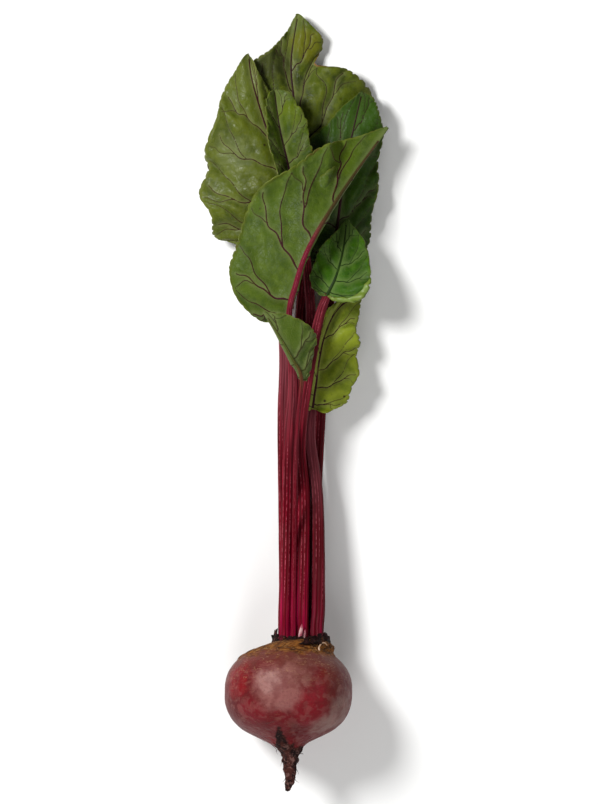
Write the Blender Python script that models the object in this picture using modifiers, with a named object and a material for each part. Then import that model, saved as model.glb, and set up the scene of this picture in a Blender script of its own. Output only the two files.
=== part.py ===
"""A beetroot with its tops, lying on its side as it lands on a table.

The bulb rests on a small flat spot, which holds the origin. The taproot points to -Y, the crown
and its eight leaves to +Y, and +Z is up. The crown end hangs a little low, so the leaf stalks
slope down to the surface, and the leaves lie over one another there, the longest at the bottom.
Lengths are in millimetres, and MM turns them into metres.
"""

import math
import random
from dataclasses import dataclass

import bmesh
import bpy
import numpy as np
from mathutils import Matrix, Vector

MM = 0.001
SEED = 7

# The root, along its own axis: 0 at the bulb's widest, tail negative, crown positive
ROOT_TILT = math.radians(12)
ROOT_CENTRE = (0.0, 0.0, 33.9)
ROOT_SIDES = 36
ROOT_PROFILE = [
    (-55.5, 0.0), (-54.6, 1.3), (-51.5, 2.2), (-47.0, 2.9), (-42.0, 3.6), (-37.5, 4.3),
    (-34.5, 5.1), (-31.8, 6.9), (-28.6, 10.6), (-25.5, 16.4), (-21.4, 24.2), (-17.8, 28.8),
    (-13.5, 32.2), (-7.5, 34.4), (0.0, 35.0), (5.5, 34.6), (10.5, 33.0), (14.0, 30.8),
    (17.0, 28.1), (19.5, 25.4), (22.0, 22.6), (24.2, 20.0), (25.5, 17.8), (26.4, 16.2),
    (27.0, 15.4), (27.1, 14.7), (26.5, 14.1), (26.5, 0.0),
]
CROWN_FLOOR = 26.5
CROWN_SHIFT = 7.0
CROWN_SHIFT_FROM, CROWN_SHIFT_TO = 19.0, 26.5
# How the turned root departs from round: lobes of the bulb, knots and sway of the taproot
BULB_LOBES = [(3, 0.006, 0.6), (5, 0.004, 2.0)]
TAIL_FROM = -28.0
TAIL_KNOTS = (0.12, 3, 0.35)
TAIL_RINGS = (0.05, 1.1)
TAIL_SWAY = 1.5
TAIL_SWAY_LENGTH = 9.0

# The dry bases of old leaves, a ring of flattened cones sunk into the crown's rim
STUB_COUNT = 15
STUB_RING = 15.2
STUB_SIDES = 6
STUB_SUNK = 5.0
STUB_FLATNESS = 0.42
STUB_HEIGHTS = (3.5, 6.5)
STUB_TOP_SHARE = 0.3
STUB_LEANS = (0.0, 12.0)
STUB_FEET = (2.2, 3.0)
STUB_TIPS = (0.8, 1.6)

# The surface that the beetroot lies on, as a block that cuts the flat spot
TABLE_SIZE = 80.0

# The leaves
BLADE = 0.8
RIB_GAP = 0.45
RIB_REACH = 0.93
STALK_GAP = 0.4
TUBE_GAP = 0.45
STALK_TAPER = 0.4
POINT_SPACING = 9.0
LIFT_EASE = 12
ROWS, COLUMNS = 19, 13
VEIN_SWEEP = 1.9
ROW_EASE = 0.85

# What a blade lies on: height maps in 1 mm cells
MAP_LOW = (-90, -40)
MAP_SIZE = (200, 460)
MAP_FLOOR = -0.7
SPREAD, BLUR = 7, 4
CLEAR = 1.2
EASE = 2.5


# A half blade's edge from its base to its tip: along the rib, and out from it, each as a share
OUTLINE = (
    (0.0, 0.05), (-0.02, 0.33), (0.03, 0.66), (0.13, 0.91), (0.27, 1.0), (0.43, 0.96),
    (0.58, 0.83), (0.72, 0.62), (0.85, 0.36), (0.95, 0.14), (1.0, 0.02),
)


@dataclass
class Leaf:
    """One leaf. crown is its place across and up the crown; stalk and rib are its plan route;
    widths, bends and outlines are for its left and right side, and bends gives a side's slope,
    in degrees, at shares of the way out to its edge."""

    name: str
    crown: tuple
    radii: tuple
    stalk: list
    rib: list
    widths: tuple
    bends: tuple
    arch: float
    tip: float
    ruffle: float
    waves: float
    phase: float
    underside_up: bool = False
    outlines: tuple = (OUTLINE, OUTLINE)


FOLDED_UNDER = [(0.06, -60), (0.14, -95), (0.24, -160), (1.0, -166)]
FOLDED_FURTHER = [(0.10, -12), (0.20, -95), (0.30, -160), (1.0, -166)]
ROUND_END = [
    (0.0, 0.05), (-0.02, 0.33), (0.03, 0.66), (0.13, 0.91), (0.27, 1.0), (0.43, 1.0),
    (0.6, 0.97), (0.76, 0.88), (0.9, 0.66), (0.98, 0.36), (1.0, 0.02),
]
HIGH_SHOULDER = [
    (0.0, 0.03), (0.03, 0.14), (0.09, 0.30), (0.18, 0.52), (0.30, 0.80), (0.42, 1.0),
    (0.54, 0.98), (0.68, 0.78), (0.82, 0.50), (0.94, 0.20), (1.0, 0.02),
]
LOBED_LEFT = [
    (0.0, 0.05), (-0.02, 0.33), (0.03, 0.66), (0.13, 0.91), (0.27, 1.0), (0.45, 0.97),
    (0.63, 0.88), (0.74, 0.70), (0.80, 0.36), (0.88, 0.18), (0.96, 0.08), (1.0, 0.02),
]
TORN_RIGHT = [
    (0.0, 0.05), (-0.02, 0.33), (0.03, 0.66), (0.13, 0.91), (0.27, 0.99), (0.42, 1.0),
    (0.59, 0.96), (0.70, 0.74), (0.735, 0.33), (0.80, 0.37), (0.89, 0.36), (0.96, 0.17), (1.0, 0.02),
]

# From the bottom of the heap to the top
LEAVES = [
    Leaf("top_long", (-2.2, -9.2), (3.5, 2.5, 0.6),
         [(5.8, 49.6), (9.2, 95.0), (9.9, 118.0), (8.8, 145.0), (6.1, 187.3), (8.8, 231.4), (8.8, 267.2)],
         [(6.6, 297.5), (3.3, 325.1), (1.7, 347.1), (5.5, 373.6)],
         (32, 43), ([(0.1, 12), (1.0, -14)], [(0.1, 10), (1.0, -20)]), 5, 5, 4.0, 3.0, 0.1,
         outlines=(LOBED_LEFT, TORN_RIGHT)),
    Leaf("right_back", (6.0, -4.0), (3.5, 2.4, 0.6),
         [(13.0, 49.6), (15.2, 104.7), (16.9, 137.3), (19.6, 180.0), (24.6, 233.0)],
         [(28.0, 262.0), (32.0, 290.0), (36.5, 311.0), (41.0, 330.0)],
         (32, 20), ([(0.1, -4), (1.0, -16)], [(0.1, -12), (1.0, -24)]), 5, -2, 3.5, 3.0, 0.45,
         outlines=(OUTLINE, ROUND_END)),
    Leaf("left_broad", (-8.3, -3.8), (3.5, 2.2, 0.6),
         [(-1.5, 49.6), (-2.2, 104.7), (-2.8, 148.8), (-2.0, 178.0), (-2.2, 205.0), (1.1, 242.4)],
         [(-2.2, 270.0), (-7.2, 294.8), (-14.3, 316.8), (-19.8, 336.1), (-22.0, 351.0)],
         (45, 20), ([(0.1, 6), (1.0, -26)], [(0.1, -18), (1.0, -45)]), 7, -5, 4.5, 3.5, 0.8),
    Leaf("centre_folded", (-1.3, -1.9), (3.3, 2.0, 0.5),
         [(4.2, 49.6), (4.2, 104.7), (6.8, 150.0), (11.2, 188.0), (12.2, 214.0), (8.6, 246.0), (2.4, 278.0)],
         [(-1.0, 293.5), (-4.8, 310.8), (-7.5, 330.5)],
         (12, 16), ([(0.1, 62), (1.0, 44)], [(0.1, 26), (1.0, 4)]), 2, 3, 1.5, 2.0, 0.2,
         outlines=(ROUND_END, ROUND_END)),
    Leaf("right_bright", (8.8, 3.9), (4.1, 1.6, 0.45),
         [(16.6, 49.6), (16.3, 104.7), (12.6, 137.3), (13.6, 155.0)],
         [(15.4, 168.0), (17.2, 181.6), (20.2, 195.0), (26.5, 208.5), (43.0, 226.0)],
         (6, 22), ([(0.1, 10), (1.0, 5)], [(0.1, 4), (1.0, -14)]), 3, 2, 2.6, 3.5, 0.6),
    Leaf("right_small", (0.2, 5.9), (4.0, 2.1, 0.5),
         [(7.4, 49.6), (8.4, 104.7), (6.4, 137.3), (11.2, 174.0), (17.2, 205.0), (21.5, 217.0)],
         [(26.5, 228.0), (30.5, 243.0), (32.5, 259.5)],
         (16, 19), ([(0.1, -16), (1.0, -36)], [(0.1, -10), (1.0, 20)]), 4, -3, 2.6, 1.5, 0.3),
    Leaf("front_broad", (-8.4, 4.4), (4.1, 1.7, 0.5),
         [(-1.2, 49.6), (0.1, 104.7), (0.9, 137.3), (2.6, 170.0), (0.6, 205.0)],
         [(4.4, 223.2), (9.9, 239.7), (18.7, 256.2), (35.3, 282.1), (55.1, 309.7)],
         (41, 27), ([(0.1, -8), (1.0, -20)], FOLDED_UNDER), 4, 0, 3.0, 2.5, 0.55, True),
    Leaf("front_small", (-4.0, 10.2), (1.4, 1.0, 0.4),
         [(3.1, 49.6), (3.8, 100.0), (5.0, 143.3), (7.4, 171.0)],
         [(2.0, 183.0), (-5.6, 196.0), (-13.2, 207.6)],
         (12, 19), (FOLDED_FURTHER, [(0.1, -6), (1.0, -22)]), 2, -2, 1.0, 1.0, 0.0, True,
         outlines=(OUTLINE, HIGH_SHOULDER)),
]


def smoothstep(t):
    """0 below 0, 1 above 1, and an even S between."""
    t = np.clip(t, 0.0, 1.0)
    return t * t * (3.0 - 2.0 * t)


def raised(low, need):
    """The larger of two heights, with the corner between them rounded."""
    return 0.5 * (low + need + np.sqrt((low - need) ** 2 + EASE**2))


def run_spread(values, reach):
    """Each value replaced by the largest within reach, then averaged over the same reach."""
    padded = np.pad(values, 2 * reach, mode="edge")
    window = 2 * reach + 1
    widest = np.lib.stride_tricks.sliding_window_view(padded, window).max(axis=1)
    return np.lib.stride_tricks.sliding_window_view(widest, window).mean(axis=1)


def softened(grid):
    """A height map widened by SPREAD + BLUR cells and blurred, so it is smooth and never lower."""
    reach = SPREAD + BLUR
    for axis in (0, 1):
        grid = np.max([np.roll(grid, k, axis) for k in range(-reach, reach + 1)], axis=0)
    for axis in (0, 1):
        for _ in range(2):
            grid = np.mean([np.roll(grid, k, axis) for k in range(-BLUR // 2, BLUR // 2 + 1)], axis=0)
    return grid


def map_height(grid, x, y):
    """The height of a map at points between its cells."""
    gx = np.clip(x - MAP_LOW[0], 0, MAP_SIZE[0] - 1.001)
    gy = np.clip(y - MAP_LOW[1], 0, MAP_SIZE[1] - 1.001)
    i, j = gx.astype(int), gy.astype(int)
    u, v = gx - i, gy - j
    low = grid[i, j] * (1 - u) + grid[i + 1, j] * u
    high = grid[i, j + 1] * (1 - u) + grid[i + 1, j + 1] * u
    return low * (1 - v) + high * v


def map_cell(x, y):
    i = np.clip(np.round(x - MAP_LOW[0]).astype(int), 0, MAP_SIZE[0] - 1)
    j = np.clip(np.round(y - MAP_LOW[1]).astype(int), 0, MAP_SIZE[1] - 1)
    return i, j


class Heap:
    """What already lies on the surface: the stalks as strings of balls, and two height maps."""

    def __init__(self):
        self.balls = np.empty((0, 4))
        self.blades = np.full(MAP_SIZE, MAP_FLOOR)
        self.all = np.full(MAP_SIZE, MAP_FLOOR)

    def add_blade(self, x, y, z):
        for grid in (self.blades, self.all):
            np.maximum.at(grid, map_cell(x, y), z + BLADE / 2)

    def add_stalk(self, points, radius):
        self.balls = np.vstack([self.balls, np.column_stack([points, radius])])
        reach = int(np.ceil(radius.max()))
        for dx in range(-reach, reach + 1):
            for dy in range(-reach, reach + 1):
                inside = radius**2 - dx * dx - dy * dy
                on = inside > 0
                cell = map_cell(points[on, 0] + dx, points[on, 1] + dy)
                np.maximum.at(self.all, cell, points[on, 2] + np.sqrt(inside[on]))

    def stalk_support(self, x, y, radius):
        """The lowest height at which balls of this radius clear the stalks already there."""
        need = radius + 0.1
        if len(self.balls):
            across = np.hypot(x[:, None] - self.balls[:, 0], y[:, None] - self.balls[:, 1])
            reach = radius[:, None] + self.balls[:, 3] + TUBE_GAP
            above = np.sqrt(np.maximum(reach**2 - across**2, 0.0)) + self.balls[:, 2]
            need = np.maximum(need, np.where(across < reach, above, 0.0).max(axis=1))
        return need


def catmull_rom(knots, per_span=40):
    """Points of a smooth curve through the knots, and the index of each knot among them."""
    knots = np.array(knots, float)
    first = 2 * knots[0] - knots[1]
    last = 2 * knots[-1] - knots[-2]
    p = np.vstack([first, knots, last])
    t = np.linspace(0, 1, per_span, endpoint=False)[:, None]
    spans = []
    for k in range(len(knots) - 1):
        a, b, c, d = p[k : k + 4]
        spans.append(0.5 * (2 * b + (c - a) * t + (2 * a - 5 * b + 4 * c - d) * t**2
                            + (3 * b - a - 3 * c + d) * t**3))
    spans.append(knots[-1:])
    return np.vstack(spans), [k * per_span for k in range(len(knots))]


def outline_at(outline, v):
    """Share of the length along the rib, and of the width out from it, for v from base to tip."""
    points, _ = catmull_rom(outline)
    where = np.linspace(0, 1, len(points))
    return np.interp(v, where, points[:, 0]), np.interp(v, where, points[:, 1])


def width_along(outline, share):
    """How wide the blade is at a share of its length, as a share of its full width."""
    along, across = outline_at(outline, np.linspace(0.1, 1, 60))
    return np.interp(share, along, across, left=0.0, right=0.0)


def edge_at(leaf, v, u):
    """outline_at on whichever side of the rib each u lies."""
    (along_left, across_left), (along_right, across_right) = (outline_at(o, v) for o in leaf.outlines)
    return np.where(u < 0, along_left, along_right), np.where(u < 0, across_left, across_right)


def section(bend):
    """Out and up from the rib at shares of the way to the edge, for one side's slopes."""
    share = np.linspace(0, 1, 49)
    slope = np.radians(np.interp(share, [0.0] + [b[0] for b in bend], [0.0] + [b[1] for b in bend]))
    step = share[1]
    out = np.concatenate([[0.0], np.cumsum((np.cos(slope[1:]) + np.cos(slope[:-1])) / 2 * step)])
    up = np.concatenate([[0.0], np.cumsum((np.sin(slope[1:]) + np.sin(slope[:-1])) / 2 * step)])
    return share, out, up


def is_folded(bend):
    return min(b[1] for b in bend) < -90


def stub_height(turn, draw):
    """How tall an old leaf base stands: low on the upper side, where the new stalks cover it."""
    upper = max(0.0, -math.sin(turn)) ** 2
    return draw.uniform(*STUB_HEIGHTS) * (1 - (1 - STUB_TOP_SHARE) * upper)


def crown_frame():
    """The crown floor's middle, and its directions across, up and outward along the root's axis."""
    outward = Vector((0, math.cos(ROOT_TILT), -math.sin(ROOT_TILT)))
    up = Vector((0, math.sin(ROOT_TILT), math.cos(ROOT_TILT)))
    across = Vector((1, 0, 0))
    middle = Vector(ROOT_CENTRE) + outward * CROWN_FLOOR + across * CROWN_SHIFT
    return middle, across, up, outward


class Route:
    """A leaf's stalk and rib, one sample each millimetre, laid over what is already in the heap."""

    def __init__(self, leaf, heap):
        self.leaf = leaf
        middle, across, up, outward = crown_frame()
        start = middle + across * leaf.crown[0] + up * leaf.crown[1] + outward * STALK_GAP
        lead = start + outward * 9.0
        knots = [start[:2], lead[:2]] + leaf.stalk + leaf.rib
        plan, at = catmull_rom(knots)
        length = np.concatenate([[0.0], np.cumsum(np.hypot(*np.diff(plan, axis=0).T))])
        self.base = length[at[1 + len(leaf.stalk)]]
        self.end = length[-1]
        self.blade = self.end - self.base
        self.s = np.linspace(0, self.end, int(self.end) + 1)
        self.x = np.interp(self.s, length, plan[:, 0])
        self.y = np.interp(self.s, length, plan[:, 1])
        self.r = self.radius(self.s)
        self.z = self.laid(start[2], heap)
        self.tangent = np.gradient(np.column_stack([self.x, self.y]), axis=0)
        self.tangent /= np.linalg.norm(self.tangent, axis=1)[:, None]

    def radius(self, s):
        at_crown, at_base, at_tip = self.leaf.radii
        stalk = at_base + (at_crown - at_base) * np.clip(1 - s / self.base, 0, 1) ** STALK_TAPER
        rib = at_tip + (at_base - at_tip) * np.clip(1 - (s - self.base) / self.blade, 0, 1) ** 1.1
        return np.where(s < self.base, stalk, rib)

    def laid(self, start_z, heap):
        """Heights that leave the crown along the root's axis, sink to the surface, and clear the heap."""
        fall = math.tan(ROOT_TILT) / (start_z - self.r[0])
        share = np.clip((self.s - self.base) / self.blade, 0, 1)
        wanted = self.r + (start_z - self.r) * np.exp(-fall * self.s)
        wanted += self.leaf.arch * np.sin(np.pi * share) + self.leaf.tip * share**2
        need = heap.stalk_support(self.x, self.y, self.r)
        need = np.maximum(need, map_height(softened(heap.blades), self.x, self.y) + CLEAR + self.r)
        under_blade = map_height(softened(heap.all), self.x, self.y) + CLEAR + self.r
        if self.leaf.underside_up:
            under_blade += BLADE + RIB_GAP
        for bend, width, outline in zip(self.leaf.bends, self.leaf.widths, self.leaf.outlines):
            if is_folded(bend):
                under_blade += -section(bend)[2].min() * width * width_along(outline, share)
        need = np.where(self.s > self.base - 6, np.maximum(need, under_blade), need)
        lift = run_spread(np.maximum(need - wanted, 0), LIFT_EASE)
        return wanted + lift * smoothstep(self.s / 16)

    def rib_side(self, s):
        """The height of the blade where it crosses the rib."""
        away = np.interp(s, self.s, self.r) + RIB_GAP + BLADE / 2
        return np.interp(s, self.s, self.z) + (-away if self.leaf.underside_up else away)


def blade_points(route, v, u, ground):
    """Points of the blade's middle surface: v from base to tip, u from -1, left edge, to 1, right."""
    leaf = route.leaf
    t = np.abs(u)
    along, across = edge_at(leaf, v, u)
    start = v**VEIN_SWEEP
    a = (start + (along - start) * t) * route.blade + route.base
    x = np.interp(a, route.s, route.x)
    y = np.interp(a, route.s, route.y)
    tx = np.interp(a, route.s, route.tangent[:, 0])
    ty = np.interp(a, route.s, route.tangent[:, 1])
    z = route.rib_side(a)
    swell = np.sin(np.pi * np.clip(v, 0, 1)) ** 0.5
    for side, (bend, width) in enumerate(zip(leaf.bends, leaf.widths)):
        on = (u < 0) if side == 0 else (u > 0)
        sign = 1.0 if side == 0 else -1.0
        turn = 2 * np.pi * (leaf.waves * v + leaf.phase + 0.37 * side)
        span = width * across * (1 + 0.05 * np.sin(1.7 * turn + 1.0))
        share, out, up = section(bend)
        c = span * np.interp(t, share, out)
        h = span * np.interp(t, share, up)
        ruffle = leaf.ruffle * t**2 * swell * np.sin(turn) * (0.25 if is_folded(bend) else 1.0)
        x = np.where(on, x - sign * c * ty, x)
        y = np.where(on, y + sign * c * tx, y)
        z = np.where(on, z + h + ruffle, z)
    width = np.where(u < 0, leaf.widths[0], leaf.widths[1]) * across
    need = map_height(ground, x, y) + CLEAR
    z = z + (raised(z, need) - z) * smoothstep((t * width - 1.0) / 5.0)
    return x, y, z


def new_object(name, data, collection, material=None):
    obj = bpy.data.objects.new(name, data)
    collection.objects.link(obj)
    if material:
        data.materials.append(material)
    return obj


def make_material(name, colour, roughness):
    material = bpy.data.materials.new(name)
    material.use_nodes = True
    shader = material.node_tree.nodes["Principled BSDF"]
    shader.inputs["Base Color"].default_value = (*colour, 1)
    shader.inputs["Roughness"].default_value = roughness
    shader.inputs["Metallic"].default_value = 0.0
    material.diffuse_color = (*colour, 1)
    return material


def applied_mesh(obj):
    graph = bpy.context.evaluated_depsgraph_get()
    return bpy.data.meshes.new_from_object(obj.evaluated_get(graph))


def drop(objects):
    for obj in list(objects):
        bpy.data.objects.remove(obj, do_unlink=True)


def shape_root(point):
    """A turned point moved to where the real root has it: lobes, a shifted crown, a knotty tail."""
    x, y, s = (c / MM for c in point)
    turn = math.atan2(y, x)
    bulb = float(smoothstep((s + 31) / 14) * smoothstep((26 - s) / 12))
    swell = 1 + bulb * sum(share * math.sin(count * turn + phase) for count, share, phase in BULB_LOBES)
    tail = float(smoothstep((TAIL_FROM - s) / 6))
    knots, count, twist = TAIL_KNOTS
    rings, pitch = TAIL_RINGS
    swell *= 1 + tail * (knots * math.sin(count * turn + twist * s) + rings * math.sin(pitch * s))
    shift = CROWN_SHIFT * float(smoothstep((s - CROWN_SHIFT_FROM) / (CROWN_SHIFT_TO - CROWN_SHIFT_FROM)))
    sway = tail * TAIL_SWAY * math.sin((TAIL_FROM + 2 - s) / TAIL_SWAY_LENGTH)
    return Vector((x * swell + shift + sway, y * swell, s)) * MM


def root_matrix():
    return Matrix.Translation(Vector(ROOT_CENTRE) * MM) @ Matrix.Rotation(-math.pi / 2 - ROOT_TILT, 4, "X")


def make_stub(number, collection, draw):
    """The dry base of an old leaf, one of a ring round the crown."""
    turn = 2 * math.pi * (number + draw.uniform(-0.3, 0.3)) / STUB_COUNT
    height = stub_height(turn, draw)
    lean = math.radians(draw.uniform(*STUB_LEANS))
    mesh = bpy.data.meshes.new("stub")
    shape = bmesh.new()
    bmesh.ops.create_cone(shape, cap_ends=True, segments=STUB_SIDES,
                          radius1=draw.uniform(*STUB_FEET) * MM, radius2=draw.uniform(*STUB_TIPS) * MM,
                          depth=(height + STUB_SUNK) * MM)
    bmesh.ops.scale(shape, vec=(STUB_FLATNESS, 1.0, 1.0), verts=shape.verts)
    bmesh.ops.translate(shape, vec=(0, 0, (height - STUB_SUNK) / 2 * MM), verts=shape.verts)
    shape.to_mesh(mesh)
    shape.free()
    stub = new_object(f"stub_{number}", mesh, collection)
    place = Vector((STUB_RING * math.cos(turn) + CROWN_SHIFT, STUB_RING * math.sin(turn), CROWN_FLOOR)) * MM
    stub.matrix_world = (root_matrix() @ Matrix.Translation(place) @ Matrix.Rotation(turn, 4, "Z")
                         @ Matrix.Rotation(lean, 4, "Y"))


def make_root(parts, cutters, material):
    """The bulb, its taproot and the ring of old leaf bases, with a flat spot to rest on."""
    draw = random.Random(SEED)
    profile = bpy.data.meshes.new("profile")
    corners = [(r * MM, 0, s * MM) for s, r in reversed(ROOT_PROFILE)]
    profile.from_pydata(corners, [(k, k + 1) for k in range(len(corners) - 1)], [])
    turned = new_object("turned", profile, cutters)
    screw = turned.modifiers.new("turn", "SCREW")
    screw.axis = "Z"
    screw.steps = screw.render_steps = ROOT_SIDES
    screw.use_merge_vertices = True
    screw.merge_threshold = 0.00001
    mesh = applied_mesh(turned)
    drop([turned])
    for vertex in mesh.vertices:
        vertex.co = shape_root(vertex.co)
    shape = bmesh.new()
    shape.from_mesh(mesh)
    bmesh.ops.remove_doubles(shape, verts=shape.verts, dist=0.00001)
    bmesh.ops.triangulate(shape, faces=shape.faces)
    bmesh.ops.recalc_face_normals(shape, faces=shape.faces)
    shape.to_mesh(mesh)
    shape.free()

    solid = new_object("root", mesh, parts, material)
    solid.matrix_world = root_matrix()
    stubs = bpy.data.collections.new("crown_stubs")
    bpy.context.scene.collection.children.link(stubs)
    for number in range(STUB_COUNT):
        make_stub(number, stubs, draw)
    join = solid.modifiers.new("old leaf bases", "BOOLEAN")
    join.operation = "UNION"
    join.operand_type = "COLLECTION"
    join.collection = stubs
    bpy.context.view_layer.update()
    solid.data = applied_mesh(solid)
    solid.modifiers.clear()
    drop(stubs.objects)
    bpy.data.collections.remove(stubs)

    bpy.ops.mesh.primitive_cube_add(size=TABLE_SIZE * MM, location=(0, 0, -TABLE_SIZE / 2 * MM))
    table = bpy.context.object
    table.name = "resting_plane"
    table.hide_render = True
    table.display_type = "WIRE"
    for collection in table.users_collection:
        collection.objects.unlink(table)
    cutters.objects.link(table)
    flat = solid.modifiers.new("resting spot", "BOOLEAN")
    flat.operation = "DIFFERENCE"
    flat.object = table
    solid.data.shade_smooth()


def stalk_section(cutters):
    """A stalk's cross-section at a radius of 1 mm: round below, with a channel along the top."""
    curve = bpy.data.curves.new("stalk_section", "CURVE")
    curve.dimensions = "2D"
    spline = curve.splines.new("POLY")
    sides = 8
    spline.points.add(sides - 1)
    for k, point in enumerate(spline.points):
        turn = 2 * math.pi * k / sides
        reach = 0.72 if k == sides // 4 else 1.0
        point.co = (reach * math.cos(turn) * MM, reach * math.sin(turn) * MM, 0, 1)
    spline.use_cyclic_u = True
    section_object = new_object("stalk_section", curve, cutters)
    section_object.hide_render = True
    section_object.display_type = "WIRE"
    return section_object


def make_stalk(route, parts, cutters, profile, material):
    """A leaf's stalk with the rib that carries its blade, as one tapering solid."""
    curve = bpy.data.curves.new(route.leaf.name, "CURVE")
    curve.dimensions = "3D"
    curve.twist_mode = "Z_UP"
    curve.bevel_mode = "OBJECT"
    curve.bevel_object = profile
    curve.use_fill_caps = True
    spline = curve.splines.new("POLY")
    end = route.base + route.blade * RIB_REACH
    where = np.linspace(0, end, int(end / POINT_SPACING) + 1)
    spline.points.add(len(where) - 1)
    for point, s in zip(spline.points, where):
        point.co = (*(np.interp(s, route.s, c) * MM for c in (route.x, route.y, route.z)), 1)
        point.radius = float(route.radius(s))
        point.tilt = math.pi if route.leaf.underside_up else 0.0
    line = new_object("line", curve, cutters)
    mesh = applied_mesh(line)
    drop([line])
    shape = bmesh.new()
    shape.from_mesh(mesh)
    bmesh.ops.remove_doubles(shape, verts=shape.verts, dist=0.000001)
    bmesh.ops.recalc_face_normals(shape, faces=shape.faces)
    shape.to_mesh(mesh)
    shape.free()
    stalk = new_object(f"stalk_{route.leaf.name}", mesh, parts, material)
    stalk.data.shade_smooth()


def make_blade(route, ground, parts, material):
    """A leaf's thin green blade, as a waved sheet given its thickness."""
    mesh = bpy.data.meshes.new(route.leaf.name)
    shape = bmesh.new()
    bmesh.ops.create_grid(shape, x_segments=ROWS, y_segments=COLUMNS, size=1.0)
    v = np.array([(vertex.co.x + 1) / 2 for vertex in shape.verts]) ** ROW_EASE
    u = np.array([vertex.co.y for vertex in shape.verts])
    for vertex, place in zip(shape.verts, np.column_stack(blade_points(route, v, u, ground))):
        vertex.co = Vector(place) * MM
    bmesh.ops.triangulate(shape, faces=shape.faces)
    shape.to_mesh(mesh)
    shape.free()
    blade = new_object(f"blade_{route.leaf.name}", mesh, parts, material)
    solidify = blade.modifiers.new("thickness", "SOLIDIFY")
    solidify.thickness = BLADE * MM
    solidify.offset = 0.0
    blade.data.shade_smooth()


def lay(leaf, heap):
    """Lays one leaf on the heap, adds it there, and returns its route and what its blade lies on."""
    route = Route(leaf, heap)
    ground = softened(heap.all)
    v, u = np.meshgrid(np.linspace(0, 1, 180), np.linspace(-1, 1, 161))
    x, y, z = blade_points(route, v.ravel(), u.ravel(), ground)
    heap.add_blade(x, y, z)
    heap.add_stalk(np.column_stack([route.x, route.y, route.z]), route.r)
    return route, ground


def main():
    for obj in list(bpy.data.objects):
        bpy.data.objects.remove(obj, do_unlink=True)
    parts = bpy.data.collections.new("beetroot")
    cutters = bpy.data.collections.new("cutters_and_guides")
    for collection in (parts, cutters):
        bpy.context.scene.collection.children.link(collection)
    skin = make_material("root_skin", (0.26, 0.03, 0.06), 0.5)
    stem = make_material("stalk_red", (0.36, 0.01, 0.06), 0.35)
    green = make_material("leaf_green", (0.09, 0.17, 0.03), 0.45)

    make_root(parts, cutters, skin)
    profile = stalk_section(cutters)
    heap = Heap()
    for leaf in LEAVES:
        route, ground = lay(leaf, heap)
        make_stalk(route, parts, cutters, profile, stem)
        make_blade(route, ground, parts, green)


main()
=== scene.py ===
"""The looks of a beetroot with its tops, lying on its side.

The leaves, stalks and root follow the same named values as the solids that they replace, at a
finer grain: veins, puckers, toothed edges, ribbed stalks, cork, scars and rootlets.
Lengths are in millimetres, and MM turns them into metres.
"""

import math
import random
from dataclasses import dataclass

import bpy
import numpy as np
from mathutils import Matrix, Vector, kdtree, noise

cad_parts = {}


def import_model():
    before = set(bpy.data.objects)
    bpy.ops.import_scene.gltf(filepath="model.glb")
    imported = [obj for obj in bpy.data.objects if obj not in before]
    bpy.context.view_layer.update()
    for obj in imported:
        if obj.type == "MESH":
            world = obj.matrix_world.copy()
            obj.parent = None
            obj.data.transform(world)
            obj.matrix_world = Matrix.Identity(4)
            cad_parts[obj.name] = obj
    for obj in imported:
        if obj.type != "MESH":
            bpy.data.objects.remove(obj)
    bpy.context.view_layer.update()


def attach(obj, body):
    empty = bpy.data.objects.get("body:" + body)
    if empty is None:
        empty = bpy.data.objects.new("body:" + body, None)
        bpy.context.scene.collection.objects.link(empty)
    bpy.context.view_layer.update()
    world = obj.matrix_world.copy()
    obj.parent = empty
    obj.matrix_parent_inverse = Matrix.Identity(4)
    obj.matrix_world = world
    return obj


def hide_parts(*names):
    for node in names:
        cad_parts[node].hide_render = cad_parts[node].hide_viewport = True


MM = 0.001
SEED = 7

# The root, along its own axis: 0 at the bulb's widest, tail negative, crown positive
ROOT_TILT = math.radians(12)
ROOT_CENTRE = (0.0, 0.0, 33.9)
ROOT_PROFILE = [
    (-55.5, 0.0), (-54.6, 1.3), (-51.5, 2.2), (-47.0, 2.9), (-42.0, 3.6), (-37.5, 4.3),
    (-34.5, 5.1), (-31.8, 6.9), (-28.6, 10.6), (-25.5, 16.4), (-21.4, 24.2), (-17.8, 28.8),
    (-13.5, 32.2), (-7.5, 34.4), (0.0, 35.0), (5.5, 34.6), (10.5, 33.0), (14.0, 30.8),
    (17.0, 28.1), (19.5, 25.4), (22.0, 22.6), (24.2, 20.0), (25.5, 17.8), (26.4, 16.2),
    (27.0, 15.4), (27.1, 14.7), (26.5, 14.1), (26.5, 0.0),
]
CROWN_FLOOR = 26.5
CROWN_SHIFT = 7.0
CROWN_SHIFT_FROM, CROWN_SHIFT_TO = 19.0, 26.5
# How the turned root departs from round: lobes of the bulb, knots and sway of the taproot
BULB_LOBES = [(3, 0.006, 0.6), (5, 0.004, 2.0)]
TAIL_FROM = -28.0
TAIL_KNOTS = (0.12, 3, 0.35)
TAIL_RINGS = (0.05, 1.1)
TAIL_SWAY = 1.5
TAIL_SWAY_LENGTH = 9.0

# The dry bases of old leaves, a ring of flattened cones sunk into the crown's rim
STUB_COUNT = 15
STUB_RING = 15.2
STUB_SUNK = 5.0
STUB_FLATNESS = 0.42
STUB_HEIGHTS = (3.5, 6.5)
STUB_TOP_SHARE = 0.3
STUB_LEANS = (0.0, 12.0)
STUB_FEET = (2.2, 3.0)
STUB_TIPS = (0.8, 1.6)

# The leaves
BLADE = 0.8
RIB_GAP = 0.45
RIB_REACH = 0.93
STALK_GAP = 0.4
TUBE_GAP = 0.45
STALK_TAPER = 0.4
LIFT_EASE = 12
VEIN_SWEEP = 1.9
ROW_EASE = 0.85

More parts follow.
